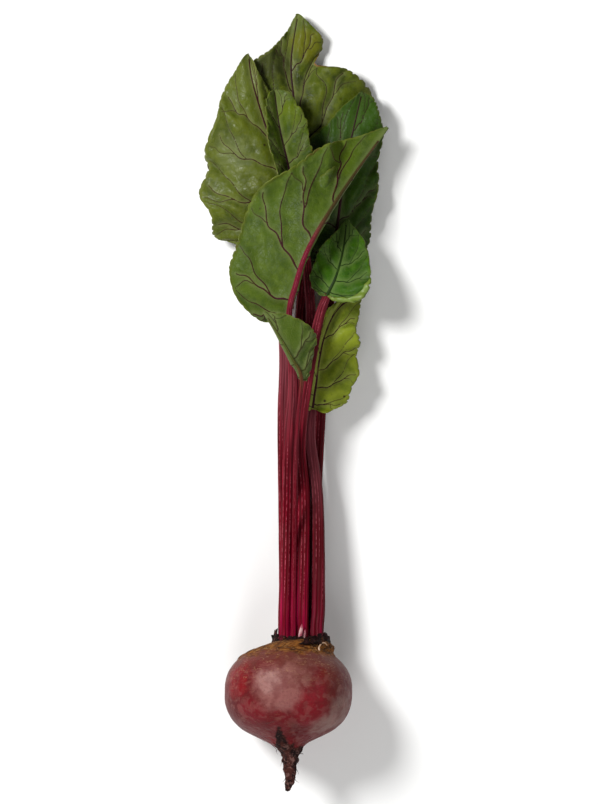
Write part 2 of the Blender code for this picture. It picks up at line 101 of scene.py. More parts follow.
# What a blade lies on: height maps in 1 mm cells
MAP_LOW = (-90, -40)
MAP_SIZE = (200, 460)
MAP_FLOOR = -0.7
SPREAD, BLUR = 7, 4
CLEAR = 1.2
EASE = 2.5


# A half blade's edge from its base to its tip: along the rib, and out from it, each as a share
OUTLINE = (
    (0.0, 0.05), (-0.02, 0.33), (0.03, 0.66), (0.13, 0.91), (0.27, 1.0), (0.43, 0.96),
    (0.58, 0.83), (0.72, 0.62), (0.85, 0.36), (0.95, 0.14), (1.0, 0.02),
)


@dataclass
class Leaf:
    """One leaf. crown is its place across and up the crown; stalk and rib are its plan route;
    widths, bends and outlines are for its left and right side, and bends gives a side's slope,
    in degrees, at shares of the way out to its edge."""

    name: str
    crown: tuple
    radii: tuple
    stalk: list
    rib: list
    widths: tuple
    bends: tuple
    arch: float
    tip: float
    ruffle: float
    waves: float
    phase: float
    underside_up: bool = False
    outlines: tuple = (OUTLINE, OUTLINE)


FOLDED_UNDER = [(0.06, -60), (0.14, -95), (0.24, -160), (1.0, -166)]
FOLDED_FURTHER = [(0.10, -12), (0.20, -95), (0.30, -160), (1.0, -166)]
ROUND_END = OUTLINE[:5] + (
    (0.43, 1.0), (0.6, 0.97), (0.76, 0.88), (0.9, 0.66), (0.98, 0.36), (1.0, 0.02),
)
HIGH_SHOULDER = (
    (0.0, 0.03), (0.03, 0.14), (0.09, 0.30), (0.18, 0.52), (0.30, 0.80), (0.42, 1.0),
    (0.54, 0.98), (0.68, 0.78), (0.82, 0.50), (0.94, 0.20), (1.0, 0.02),
)
LOBED_LEFT = OUTLINE[:5] + (
    (0.45, 0.97), (0.63, 0.88), (0.74, 0.70), (0.80, 0.36), (0.88, 0.18), (0.96, 0.08), (1.0, 0.02),
)
TORN_RIGHT = OUTLINE[:4] + (
    (0.27, 0.99), (0.42, 1.0), (0.59, 0.96), (0.70, 0.74), (0.735, 0.33), (0.80, 0.37), (0.89, 0.36),
    (0.96, 0.17), (1.0, 0.02),
)

# From the bottom of the heap to the top
LEAVES = [
    Leaf("top_long", (-2.2, -9.2), (3.5, 2.5, 0.6),
         [(5.8, 49.6), (9.2, 95.0), (9.9, 118.0), (8.8, 145.0), (6.1, 187.3), (8.8, 231.4), (8.8, 267.2)],
         [(6.6, 297.5), (3.3, 325.1), (1.7, 347.1), (5.5, 373.6)],
         (32, 43), ([(0.1, 12), (1.0, -14)], [(0.1, 10), (1.0, -20)]), 5, 5, 4.0, 3.0, 0.1,
         outlines=(LOBED_LEFT, TORN_RIGHT)),
    Leaf("right_back", (6.0, -4.0), (3.5, 2.4, 0.6),
         [(13.0, 49.6), (15.2, 104.7), (16.9, 137.3), (19.6, 180.0), (24.6, 233.0)],
         [(28.0, 262.0), (32.0, 290.0), (36.5, 311.0), (41.0, 330.0)],
         (32, 20), ([(0.1, -4), (1.0, -16)], [(0.1, -12), (1.0, -24)]), 5, -2, 3.5, 3.0, 0.45,
         outlines=(OUTLINE, ROUND_END)),
    Leaf("left_broad", (-8.3, -3.8), (3.5, 2.2, 0.6),
         [(-1.5, 49.6), (-2.2, 104.7), (-2.8, 148.8), (-2.0, 178.0), (-2.2, 205.0), (1.1, 242.4)],
         [(-2.2, 270.0), (-7.2, 294.8), (-14.3, 316.8), (-19.8, 336.1), (-22.0, 351.0)],
         (45, 20), ([(0.1, 6), (1.0, -26)], [(0.1, -18), (1.0, -45)]), 7, -5, 4.5, 3.5, 0.8),
    Leaf("centre_folded", (-1.3, -1.9), (3.3, 2.0, 0.5),
         [(4.2, 49.6), (4.2, 104.7), (6.8, 150.0), (11.2, 188.0), (12.2, 214.0), (8.6, 246.0), (2.4, 278.0)],
         [(-1.0, 293.5), (-4.8, 310.8), (-7.5, 330.5)],
         (12, 16), ([(0.1, 62), (1.0, 44)], [(0.1, 26), (1.0, 4)]), 2, 3, 1.5, 2.0, 0.2,
         outlines=(ROUND_END, ROUND_END)),
    Leaf("right_bright", (8.8, 3.9), (4.1, 1.6, 0.45),
         [(16.6, 49.6), (16.3, 104.7), (12.6, 137.3), (13.6, 155.0)],
         [(15.4, 168.0), (17.2, 181.6), (20.2, 195.0), (26.5, 208.5), (43.0, 226.0)],
         (6, 22), ([(0.1, 10), (1.0, 5)], [(0.1, 4), (1.0, -14)]), 3, 2, 2.6, 3.5, 0.6),
    Leaf("right_small", (0.2, 5.9), (4.0, 2.1, 0.5),
         [(7.4, 49.6), (8.4, 104.7), (6.4, 137.3), (11.2, 174.0), (17.2, 205.0), (21.5, 217.0)],
         [(26.5, 228.0), (30.5, 243.0), (32.5, 259.5)],
         (16, 19), ([(0.1, -16), (1.0, -36)], [(0.1, -10), (1.0, 20)]), 4, -3, 2.6, 1.5, 0.3),
    Leaf("front_broad", (-8.4, 4.4), (4.1, 1.7, 0.5),
         [(-1.2, 49.6), (0.1, 104.7), (0.9, 137.3), (2.6, 170.0), (0.6, 205.0)],
         [(4.4, 223.2), (9.9, 239.7), (18.7, 256.2), (35.3, 282.1), (55.1, 309.7)],
         (41, 27), ([(0.1, -8), (1.0, -20)], FOLDED_UNDER), 4, 0, 3.0, 2.5, 0.55, True),
    Leaf("front_small", (-4.0, 10.2), (1.4, 1.0, 0.4),
         [(3.1, 49.6), (3.8, 100.0), (5.0, 143.3), (7.4, 171.0)],
         [(2.0, 183.0), (-5.6, 196.0), (-13.2, 207.6)],
         (12, 19), (FOLDED_FURTHER, [(0.1, -6), (1.0, -22)]), 2, -2, 1.0, 1.0, 0.0, True,
         outlines=(OUTLINE, HIGH_SHOULDER)),
]


def smoothstep(t):
    """0 below 0, 1 above 1, and an even S between."""
    t = np.clip(t, 0.0, 1.0)
    return t * t * (3.0 - 2.0 * t)


def raised(low, need):
    """The larger of two heights, with the corner between them rounded."""
    return 0.5 * (low + need + np.sqrt((low - need) ** 2 + EASE**2))


def run_spread(values, reach):
    """Each value replaced by the largest within reach, then averaged over the same reach."""
    padded = np.pad(values, 2 * reach, mode="edge")
    window = 2 * reach + 1
    widest = np.lib.stride_tricks.sliding_window_view(padded, window).max(axis=1)
    return np.lib.stride_tricks.sliding_window_view(widest, window).mean(axis=1)


def softened(grid):
    """A height map widened by SPREAD + BLUR cells and blurred, so it is smooth and never lower."""
    reach = SPREAD + BLUR
    for axis in (0, 1):
        grid = np.max([np.roll(grid, k, axis) for k in range(-reach, reach + 1)], axis=0)
    for axis in (0, 1):
        for _ in range(2):
            grid = np.mean([np.roll(grid, k, axis) for k in range(-BLUR // 2, BLUR // 2 + 1)], axis=0)
    return grid


def map_height(grid, x, y):
    """The height of a map at points between its cells."""
    gx = np.clip(x - MAP_LOW[0], 0, MAP_SIZE[0] - 1.001)
    gy = np.clip(y - MAP_LOW[1], 0, MAP_SIZE[1] - 1.001)
    i, j = gx.astype(int), gy.astype(int)
    u, v = gx - i, gy - j
    low = grid[i, j] * (1 - u) + grid[i + 1, j] * u
    high = grid[i, j + 1] * (1 - u) + grid[i + 1, j + 1] * u
    return low * (1 - v) + high * v


def map_cell(x, y):
    i = np.clip(np.round(x - MAP_LOW[0]).astype(int), 0, MAP_SIZE[0] - 1)
    j = np.clip(np.round(y - MAP_LOW[1]).astype(int), 0, MAP_SIZE[1] - 1)
    return i, j


class Heap:
    """What already lies on the surface: the stalks as strings of balls, and two height maps."""

    def __init__(self):
        self.balls = np.empty((0, 4))
        self.blades = np.full(MAP_SIZE, MAP_FLOOR)
        self.all = np.full(MAP_SIZE, MAP_FLOOR)

    def add_blade(self, x, y, z):
        for grid in (self.blades, self.all):
            np.maximum.at(grid, map_cell(x, y), z + BLADE / 2)

    def add_stalk(self, points, radius):
        self.balls = np.vstack([self.balls, np.column_stack([points, radius])])
        reach = int(np.ceil(radius.max()))
        for dx in range(-reach, reach + 1):
            for dy in range(-reach, reach + 1):
                inside = radius**2 - dx * dx - dy * dy
                on = inside > 0
                cell = map_cell(points[on, 0] + dx, points[on, 1] + dy)
                np.maximum.at(self.all, cell, points[on, 2] + np.sqrt(inside[on]))

    def stalk_support(self, x, y, radius):
        """The lowest height at which balls of this radius clear the stalks already there."""
        need = radius + 0.1
        if len(self.balls):
            across = np.hypot(x[:, None] - self.balls[:, 0], y[:, None] - self.balls[:, 1])
            reach = radius[:, None] + self.balls[:, 3] + TUBE_GAP
            above = np.sqrt(np.maximum(reach**2 - across**2, 0.0)) + self.balls[:, 2]
            need = np.maximum(need, np.where(across < reach, above, 0.0).max(axis=1))
        return need


def catmull_rom(knots, per_span=40):
    """Points of a smooth curve through the knots, and the index of each knot among them."""
    knots = np.array(knots, float)
    first = 2 * knots[0] - knots[1]
    last = 2 * knots[-1] - knots[-2]
    p = np.vstack([first, knots, last])
    t = np.linspace(0, 1, per_span, endpoint=False)[:, None]
    spans = []
    for k in range(len(knots) - 1):
        a, b, c, d = p[k : k + 4]
        spans.append(0.5 * (2 * b + (c - a) * t + (2 * a - 5 * b + 4 * c - d) * t**2
                            + (3 * b - a - 3 * c + d) * t**3))
    spans.append(knots[-1:])
    return np.vstack(spans), [k * per_span for k in range(len(knots))]


def outline_at(outline, v):
    """Share of the length along the rib, and of the width out from it, for v from base to tip."""
    points, _ = catmull_rom(outline)
    where = np.linspace(0, 1, len(points))
    return np.interp(v, where, points[:, 0]), np.interp(v, where, points[:, 1])


def width_along(outline, share):
    """How wide the blade is at a share of its length, as a share of its full width."""
    along, across = outline_at(outline, np.linspace(0.1, 1, 60))
    return np.interp(share, along, across, left=0.0, right=0.0)


def edge_at(leaf, v, u):
    """outline_at on whichever side of the rib each u lies."""
    (along_left, across_left), (along_right, across_right) = (outline_at(o, v) for o in leaf.outlines)
    return np.where(u < 0, along_left, along_right), np.where(u < 0, across_left, across_right)


def section(bend):
    """Out and up from the rib at shares of the way to the edge, for one side's slopes."""
    share = np.linspace(0, 1, 49)
    slope = np.radians(np.interp(share, [0.0] + [b[0] for b in bend], [0.0] + [b[1] for b in bend]))
    step = share[1]
    out = np.concatenate([[0.0], np.cumsum((np.cos(slope[1:]) + np.cos(slope[:-1])) / 2 * step)])
    up = np.concatenate([[0.0], np.cumsum((np.sin(slope[1:]) + np.sin(slope[:-1])) / 2 * step)])
    return share, out, up


def is_folded(bend):
    return min(b[1] for b in bend) < -90


def stub_height(turn, draw):
    """How tall an old leaf base stands: low on the upper side, where the new stalks cover it."""
    upper = max(0.0, -math.sin(turn)) ** 2
    return draw.uniform(*STUB_HEIGHTS) * (1 - (1 - STUB_TOP_SHARE) * upper)


def crown_frame():
    """The crown floor's middle, and its directions across, up and outward along the root's axis."""
    outward = Vector((0, math.cos(ROOT_TILT), -math.sin(ROOT_TILT)))
    up = Vector((0, math.sin(ROOT_TILT), math.cos(ROOT_TILT)))
    across = Vector((1, 0, 0))
    middle = Vector(ROOT_CENTRE) + outward * CROWN_FLOOR + across * CROWN_SHIFT
    return middle, across, up, outward


class Route:
    """A leaf's stalk and rib, one sample each millimetre, laid over what is already in the heap."""

    def __init__(self, leaf, heap):
        self.leaf = leaf
        middle, across, up, outward = crown_frame()
        start = middle + across * leaf.crown[0] + up * leaf.crown[1] + outward * STALK_GAP
        lead = start + outward * 9.0
        knots = [start[:2], lead[:2]] + leaf.stalk + leaf.rib
        plan, at = catmull_rom(knots)
        length = np.concatenate([[0.0], np.cumsum(np.hypot(*np.diff(plan, axis=0).T))])
        self.base = length[at[1 + len(leaf.stalk)]]
        self.end = length[-1]
        self.blade = self.end - self.base
        self.s = np.linspace(0, self.end, int(self.end) + 1)
        self.x = np.interp(self.s, length, plan[:, 0])
        self.y = np.interp(self.s, length, plan[:, 1])
        self.r = self.radius(self.s)
        self.z = self.laid(start[2], heap)
        self.tangent = np.gradient(np.column_stack([self.x, self.y]), axis=0)
        self.tangent /= np.linalg.norm(self.tangent, axis=1)[:, None]

    def radius(self, s):
        at_crown, at_base, at_tip = self.leaf.radii
        stalk = at_base + (at_crown - at_base) * np.clip(1 - s / self.base, 0, 1) ** STALK_TAPER
        rib = at_tip + (at_base - at_tip) * np.clip(1 - (s - self.base) / self.blade, 0, 1) ** 1.1
        return np.where(s < self.base, stalk, rib)

    def rib_radius(self, v):
        """The rib's radius where the blade's rows v start from it."""
        return self.radius(self.base + self.blade * v**VEIN_SWEEP)

    def laid(self, start_z, heap):
        """Heights that leave the crown along the root's axis, sink to the surface, and clear the heap."""
        fall = math.tan(ROOT_TILT) / (start_z - self.r[0])
        share = np.clip((self.s - self.base) / self.blade, 0, 1)
        wanted = self.r + (start_z - self.r) * np.exp(-fall * self.s)
        wanted += self.leaf.arch * np.sin(np.pi * share) + self.leaf.tip * share**2
        need = heap.stalk_support(self.x, self.y, self.r)
        need = np.maximum(need, map_height(softened(heap.blades), self.x, self.y) + CLEAR + self.r)
        under_blade = map_height(softened(heap.all), self.x, self.y) + CLEAR + self.r
        if self.leaf.underside_up:
            under_blade += BLADE + RIB_GAP
        for bend, width, outline in zip(self.leaf.bends, self.leaf.widths, self.leaf.outlines):
            if is_folded(bend):
                under_blade += -section(bend)[2].min() * width * width_along(outline, share)
        need = np.where(self.s > self.base - 6, np.maximum(need, under_blade), need)
        lift = run_spread(np.maximum(need - wanted, 0), LIFT_EASE)
        return wanted + lift * smoothstep(self.s / 16)

    def rib_side(self, s):
        """The height of the blade where it crosses the rib."""
        away = np.interp(s, self.s, self.r) + RIB_GAP + BLADE / 2
        return np.interp(s, self.s, self.z) + (-away if self.leaf.underside_up else away)


def blade_points(route, v, u, ground):
    """Points of the blade's middle surface: v from base to tip, u from -1, left edge, to 1, right."""
    leaf = route.leaf
    t = np.abs(u)
    along, across = edge_at(leaf, v, u)
    start = v**VEIN_SWEEP
    a = (start + (along - start) * t) * route.blade + route.base
    x = np.interp(a, route.s, route.x)
    y = np.interp(a, route.s, route.y)
    tx = np.interp(a, route.s, route.tangent[:, 0])
    ty = np.interp(a, route.s, route.tangent[:, 1])
    z = route.rib_side(a)
    swell = np.sin(np.pi * np.clip(v, 0, 1)) ** 0.5
    for side, (bend, width) in enumerate(zip(leaf.bends, leaf.widths)):
        on = (u < 0) if side == 0 else (u > 0)
        sign = 1.0 if side == 0 else -1.0
        turn = 2 * np.pi * (leaf.waves * v + leaf.phase + 0.37 * side)
        span = width * across * (1 + 0.05 * np.sin(1.7 * turn + 1.0))
        share, out, up = section(bend)
        c = span * np.interp(t, share, out)
        h = span * np.interp(t, share, up)
        ruffle = leaf.ruffle * t**2 * swell * np.sin(turn) * (0.25 if is_folded(bend) else 1.0)
        x = np.where(on, x - sign * c * ty, x)
        y = np.where(on, y + sign * c * tx, y)
        z = np.where(on, z + h + ruffle, z)
    width = np.where(u < 0, leaf.widths[0], leaf.widths[1]) * across
    need = map_height(ground, x, y) + CLEAR
    z = z + (raised(z, need) - z) * smoothstep((t * width - 1.0) / 5.0)
    return x, y, z


def lay(leaf, heap):
    """Lays one leaf on the heap, adds it there, and returns its route and what its blade lies on."""
    route = Route(leaf, heap)
    ground = softened(heap.all)
    v, u = np.meshgrid(np.linspace(0, 1, 180), np.linspace(-1, 1, 161))
    x, y, z = blade_points(route, v.ravel(), u.ravel(), ground)
    heap.add_blade(x, y, z)
    heap.add_stalk(np.column_stack([route.x, route.y, route.z]), route.r)
    return route, ground


# The finer grain, in mm: the steps of a blade's mesh, its thickness, and the teeth and frill of its edge
GRAIN = 0.62
LAMINA = 0.36
LOWEST = 0.25
TOOTH_PITCH = 3.1
TOOTH_DEPTHS = (0.4, 1.3)
TOOTH_MOST = 0.07
EDGE_FRILL = 1.0
FRILLS = 9
# Puckers between the veins, and how far a vein or a fork flattens them
PUCKER = 1.7
PUCKER_REACH = 3.6
FORK_REACH = 2.2
RIB_FLAT = 5.0
CRUMPLE = 0.34
EDGE_CALM = 0.04
# Veins: the groove that they lie in, and how they stand out, by whether the underside is up
VEIN_GROOVE = 0.7
GROOVE_WIDTHS = (0.9, 0.7)
GROOVE_FROM = 3.2
VEIN_STEP = 0.9
VEIN_PROUD = {False: 0.15, True: 0.28}
VEIN_SIZE = 0.95
VEIN_LEAST = 0.11
VEIN_ROOT = 0.10
VEIN_SHARE = 0.82
FORK_END = 0.94
VEIN_TILTS = (-0.15, 0.15)
VEIN_ENDS = (0.86, 0.95)
VEIN_BOWS = (0.05, 0.08)
# Where a fork leaves its vein, to which side, and how far it spreads
FORKS = ((0.36, 1, 0.50), (0.62, -1, 0.30))
# How far the pale border of a vein, a fork and the rib reaches, and where the edge's tone begins
BORDERS = (1.7, 1.1, 2.2)
EDGE_FROM = 0.95
# How high a bulge swells before the painted highlight on it is full
FULL_PUFF = 1.6
# The line of a midrib on the upper face, as a share of the rib and at least so wide
RIB_LINE = 0.5
RIB_LINE_LEAST = 0.35
RIB_LINE_HIGH = 0.3
RIB_LINE_LIFT = 0.12
# How deep a blade dips to its rib
SINK = 0.32
WEB_REACH = 1.0
WEB_BITE = 0.2
# The turned edge, from its outermost share of the way out
LIP_STEPS = 60
LIP_COLUMNS = 14
LIP_RISE = 1.3
EDGE_SHARE = 0.985
LIP_MOST = 0.7
# Stalks: the steps of their mesh, how far they run into the crown, and their ribs
STALK_STEP = 1.6
STALK_SUNK = 1.4
STALK_SIDES = 64
STALK_RIBS = 11
FINE_RIBS = 19

MAROON = (0.014, 0.0016, 0.003)
PLUM = (0.020, 0.0015, 0.003)


@dataclass
class Look:
    """How one leaf looks: its greens, its vein and rib colours, how many side veins, how puckered, how
    rough, how much of a painted greyish mauve highlight its stalk has, the colour of its rib towards
    the tip, and how much darker its stalk is."""

    dark: tuple
    mid: tuple
    light: tuple
    vein: tuple
    rib: tuple
    veins: int
    puckers: float
    gloss: float
    mauve: float = 0.15
    rib_end: tuple = MAROON
    dusky: float = 0.0


LOOKS = {
    "top_long": Look((0.007, 0.015, 0.0006), (0.033, 0.054, 0.0015), (0.092, 0.114, 0.006),
                     MAROON, (0.020, 0.0015, 0.004), 5, 1.2, 0.34, dusky=0.5),
    "right_back": Look((0.004, 0.017, 0.0005), (0.011, 0.035, 0.0008), (0.025, 0.062, 0.002),
                       MAROON, PLUM, 5, 1.1, 0.36, dusky=0.55),
    "left_broad": Look((0.028, 0.044, 0.0008), (0.056, 0.078, 0.002), (0.096, 0.116, 0.008),
                       (0.020, 0.002, 0.003), (0.022, 0.002, 0.003), 5, 1.25, 0.33, 0.8),
    "centre_folded": Look((0.016, 0.036, 0.0006), (0.038, 0.066, 0.001), (0.070, 0.104, 0.004),
                          MAROON, PLUM, 4, 0.7, 0.38, dusky=0.4),
    "right_bright": Look((0.068, 0.100, 0.002), (0.140, 0.178, 0.006), (0.205, 0.245, 0.018),
                         (0.022, 0.003, 0.004), (0.026, 0.002, 0.005), 5, 1.0, 0.38, 0.6, dusky=0.6),
    "right_small": Look((0.009, 0.040, 0.0006), (0.021, 0.078, 0.001), (0.048, 0.125, 0.002),
                        (0.007, 0.018, 0.001), (0.030, 0.0015, 0.004), 4, 1.1, 0.36),
    "front_broad": Look((0.016, 0.038, 0.001), (0.034, 0.066, 0.0015), (0.066, 0.104, 0.007),
                        (0.022, 0.002, 0.004), (0.115, 0.005, 0.016), 5, 1.0, 0.40, 0.3,
                        (0.052, 0.040, 0.012)),
    "front_small": Look((0.018, 0.040, 0.001), (0.038, 0.070, 0.003), (0.070, 0.104, 0.012),
                        (0.024, 0.022, 0.004), (0.050, 0.070, 0.010), 3, 0.5, 0.42, 0.15,
                        (0.050, 0.074, 0.010)),
}
# Painted highlights: pale grey mixed into a leaf's green round a place, its net darker within,
# and that leaf's face a little shinier: a place in mm, how far it is whole, and where it ends
PAINTED_SHEEN = {
    "left_broad": ((-28, 296, 12), 5, 18),
    "front_broad": ((-6, 284, 16), 6, 22),
}
# Where a leaf's edge is turned over: its side, the first and last share along it, how wide in mm
LIPS = {"right_small": (1, 0.0, 0.46, 5.2)}
# Painted light and shade: patches of a leaf painted lighter where light falls on it and darker where it
# lies in shade, each a place in mm, how far it is whole, where it ends, and its colour
LIGHT_AND_SHADE_PATCHES = {
    "top_long": (
        ((-9, 346, 8), 6, 14, (0.026, 0.030, 0.008)),
        ((36, 317, 10), 4, 12, (0.022, 0.062, 0.002)),
        ((10, 356, 6), 5, 13, (0.110, 0.112, 0.004)),
    ),
    "right_back": (((39, 316, 12), 8, 20, (0.024, 0.062, 0.002)),),
    "centre_folded": (((3, 318, 24), 4, 11, (0.088, 0.122, 0.003)),),
    "front_broad": (
        ((24, 294, 20), 8, 20, (0.070, 0.112, 0.004)),
        ((-18, 238, 22), 8, 18, (0.028, 0.056, 0.001)),
    ),
}
# Where the edge of a leaf is torn and brown
TORN = {"top_long": ((12, 350, 10), 8, 14)}


# Meshes


def unit(vectors):
    return vectors / np.maximum(np.linalg.norm(vectors, axis=-1, keepdims=True), 1e-12)


def bell(distance, width):
    """1 where the distance is 0, falling to about a third at this width."""
    return np.exp(-(distance / width) ** 2)


def lumps(points, size, seed, octaves=3):
    """Smooth random values near -1 to 1 at points, with lumps of about this size."""
    shift = Vector((seed * 7.3, seed * 3.1, seed * 5.7))
    return np.array([noise.fractal(Vector(p) / size + shift, 1.0, 2.0, octaves) for p in points])


def grid_faces(rows, columns, wrap=False):
    """Quads over a grid of points, row by row; wrap joins the last column to the first."""
    last = columns if wrap else columns - 1
    i, j = np.meshgrid(np.arange(rows - 1), np.arange(last), indexing="ij")
    k = (j + 1) % columns
    quads = np.stack([i * columns + j, i * columns + k, (i + 1) * columns + k, (i + 1) * columns + j], -1)
    return quads.reshape(-1, 4).tolist()


def tube_faces(rings, sides):
    """Faces of a closed tube whose points come ring by ring, and then its two end points."""
    faces = grid_faces(rings, sides, wrap=True)
    first, last, tail = rings * sides, rings * sides + 1, (rings - 1) * sides
    faces += [[first, (k + 1) % sides, k] for k in range(sides)]
    faces += [[last, tail + k, tail + (k + 1) % sides] for k in range(sides)]
    return faces


def with_ends(values, first=0.0, last=0.0):
    """Values of a tube's points, followed by those of its two end points."""
    return np.append(values, [first, last])


class Soup:
    """Points, faces, face slots and point values, gathered into one mesh."""

    def __init__(self):
        self.points, self.faces, self.slots, self.values, self.count = [], [], [], {}, 0

    def add(self, points, faces, slot=0, **values):
        points = np.asarray(points, float)
        self.points.append(points)
        self.faces.extend([[k + self.count for k in face] for face in faces])
        self.slots.extend([slot] * len(faces))
        for name in set(self.values) | set(values):
            column = self.values.setdefault(name, [np.zeros(self.count)])
            column.append(np.broadcast_to(np.asarray(values.get(name, 0.0), float), (len(points),)))
        self.count += len(points)

    def tube(self, points, wide, high, sideways, sides, ripple=None, slot=0, **values):
        """A closed tube along points, half as wide and high as given; ripple scales it by ring and angle."""
        points = np.asarray(points, float)
        rings = len(points)
        along = unit(np.gradient(points, axis=0))
        side = np.broadcast_to(np.asarray(sideways, float), points.shape)
        side = unit(side - (side * along).sum(1, keepdims=True) * along)
        up = np.cross(side, along)
        angle = np.linspace(0, 2 * np.pi, sides, endpoint=False)
        swell = np.ones((rings, sides))
        if ripple:
            swell = ripple(np.arange(rings)[:, None], angle[None, :])
        wide = np.broadcast_to(wide, (rings,))[:, None, None]
        high = np.broadcast_to(high, (rings,))[:, None, None]
        across = side[:, None, :] * (wide * np.cos(angle)[None, :, None])
        ring = across + up[:, None, :] * (high * np.sin(angle)[None, :, None])
        skin = points[:, None, :] + ring * swell[:, :, None]
        skin = np.vstack([skin.reshape(-1, 3), points[:1], points[-1:]])
        self.add(skin, tube_faces(rings, sides), slot, **values)

    def sheet(self, surface, normals, slots, **values):
        """A thin closed sheet, with slots for the side of its normals, the other side and the rim."""
        rows, columns = surface.shape[:2]
        count = rows * columns
        top = (surface + normals * LAMINA / 2).reshape(-1, 3)
        bottom = (surface - normals * LAMINA / 2).reshape(-1, 3)
        top[:, 2] = np.maximum(top[:, 2], LOWEST)
        bottom[:, 2] = np.maximum(bottom[:, 2], LOWEST - 0.2)
        faces = grid_faces(rows, columns)
        index = np.arange(count).reshape(rows, columns)
        sides = index[0], index[1:, -1], index[-1, -2::-1], index[-2:0:-1, 0]
        border = np.concatenate(sides).tolist()
        under = [[k + count for k in reversed(face)] for face in faces]
        rim = [[a, a + count, b + count, b] for a, b in zip(border, border[1:] + border[:1])]
        both = {name: np.concatenate([value, value]) for name, value in values.items()}
        self.add(np.vstack([top, bottom]), faces + under + rim, **both)
        self.slots[-len(faces + under + rim):] = (
            [slots[0]] * len(faces) + [slots[1]] * len(under) + [slots[2]] * len(rim))

    def build(self, name, materials):
        mesh = bpy.data.meshes.new(name)
        mesh.from_pydata((np.vstack(self.points) * MM).tolist(), [], self.faces)
        for material in materials:
            mesh.materials.append(material)
        mesh.polygons.foreach_set("material_index", self.slots)
        for key, columns in self.values.items():
            layer = mesh.attributes.new(key, "FLOAT", "POINT")
            layer.data.foreach_set("value", np.concatenate(columns).astype(np.float32))
        mesh.shade_smooth()
        return linked(name, mesh)


def linked(name, data):
    """A new object in the scene, for a mesh, a lamp or a camera."""
    obj = bpy.data.objects.new(name, data)
    bpy.context.scene.collection.objects.link(obj)
    return obj


# Leaves


def tooth_share(route, v, u):
    """The share of its width that a blade keeps where its toothed edge dips in."""
    side = np.where(u < 0, 0.0, 1.0)
    width = np.where(u < 0, *route.leaf.widths)
    phase = route.leaf.phase
    turn = route.blade / TOOTH_PITCH * v + 0.8 * np.sin(9 * v + side * 2 + phase * 5) + side * 0.4
    dip = np.abs(np.sin(np.pi * turn + 0.6 * np.sin(2 * np.pi * turn))) ** 1.5
    shallow, deep = TOOTH_DEPTHS
    depth = shallow + (deep - shallow) * (0.5 + 0.5 * np.sin(23 * v + 2 * side + phase * 9))
    return 1 - np.minimum(depth / width, TOOTH_MOST) * (1 - dip) * np.abs(u) ** 8


def fine_points(route, v, u, ground):
    """The blade's middle surface with its toothed and frilled edge."""
    x, y, z = blade_points(route, v, u * tooth_share(route, v, u), ground)
    side = np.where(u < 0, 0.0, 1.0)
    envelope = np.sin(np.pi * np.clip(v, 0, 1)) ** 0.7 * np.abs(u) ** 5
    turn = 2 * np.pi * (FRILLS * v + 0.35 * np.sin(7 * v + side * 3) + route.leaf.phase + side * 0.3)
    return np.stack([x, y, z + EDGE_FRILL * envelope * np.sin(turn)], -1)


def flat_place(route, v, u):
    """Where a point of the blade would be if the blade were laid flat: along the rib, and across."""
    along, across = edge_at(route.leaf, v, u)
    start = v**VEIN_SWEEP
    width = np.where(u < 0, *route.leaf.widths)
    out = (start + (along - start) * np.abs(u)) * route.blade
    return np.stack([out, width * across * u, np.zeros_like(v)], -1)


def vein_lines(route, look, draw):
    """The side veins of a blade and their forks, each as rows v, places out u, and a thickness."""
    lines = []
    gap = VEIN_SHARE / look.veins
    for sign, offset, width in zip((-1, 1), (0.25, 0.7), route.leaf.widths):
        for k in range(look.veins):
            v0 = 0.07 + gap * (k + offset) + draw.uniform(*VEIN_TILTS) * gap
            reach = draw.uniform(*VEIN_ENDS)
            u = np.linspace(0.01, reach, max(8, int(width / VEIN_STEP)))
            phase, bow = draw.uniform(0, 6.3), draw.uniform(*VEIN_BOWS)
            v = v0 + 0.009 * np.sin(8 * u + phase) + 0.005 * np.sin(21 * u + 2 * phase) + bow * u**1.6
            size = VEIN_SIZE * (width / 40) ** 0.5 * (1 - 0.35 * k / look.veins)
            thick = size * (1 - 0.72 * u / reach)
            lines.append((v, sign * u, thick, 0))
            for at, turn, spread in FORKS:
                at += draw.uniform(-0.07, 0.07)
                far = FORK_END - at
                u_fork = np.linspace(at, FORK_END, max(6, int(far * width / VEIN_STEP)))
                t = (u_fork - at) / far
                lift = turn * gap * spread * draw.uniform(0.8, 1.2) * t**0.8
                lift += 0.004 * np.sin(14 * u_fork + phase)
                base = np.interp(u_fork, u, v, right=v[-1])
                fork = 0.66 * np.interp(at, u, thick) * (1 - 0.75 * t)
                lines.append((base + lift, sign * u_fork, fork, 1))
    return [(np.clip(v, 0.0, 0.99), u, thick, rank) for v, u, thick, rank in lines]


def nearest(places, lines, route, rank):
    """How far each flat place lies from the veins of a rank."""
    samples = np.vstack([flat_place(route, v, u) for v, u, _, r in lines if r == rank])
    tree = kdtree.KDTree(len(samples))
    for k, place in enumerate(samples):
        tree.insert(place, k)
    tree.balance()
    return np.array([tree.find(place)[2] for place in places])


def web(route, v, to_rib):
    """How far a blade leaves its plain surface near its rib, so that the two are joined."""
    rib = route.rib_radius(v)
    reach = RIB_GAP + BLADE / 2 - SINK + WEB_BITE * rib
    down = 1.0 if route.leaf.underside_up else -1.0
    return down * reach * bell(to_rib, rib + WEB_REACH)


def swelling(look, places, to_vein, to_fork, to_rib):
    """How far a blade's upper face bulges between its veins and dips to them."""
    puff = (1 - bell(to_vein, PUCKER_REACH)) * (1 - 0.65 * bell(to_fork, FORK_REACH))
    puff *= 1 - bell(to_rib, RIB_FLAT)
    swell = PUCKER * look.puckers * puff * (0.8 + 0.6 * lumps(places, 11.0, 1))
    swell += CRUMPLE * look.puckers * lumps(places, 5.0, 2) * np.clip(to_rib / 4, 0, 1)
    groove = VEIN_GROOVE * (bell(to_vein, GROOVE_WIDTHS[0]) + 0.5 * bell(to_fork, GROOVE_WIDTHS[1]))
    return swell - groove * (1 - bell(to_rib, GROOVE_FROM))


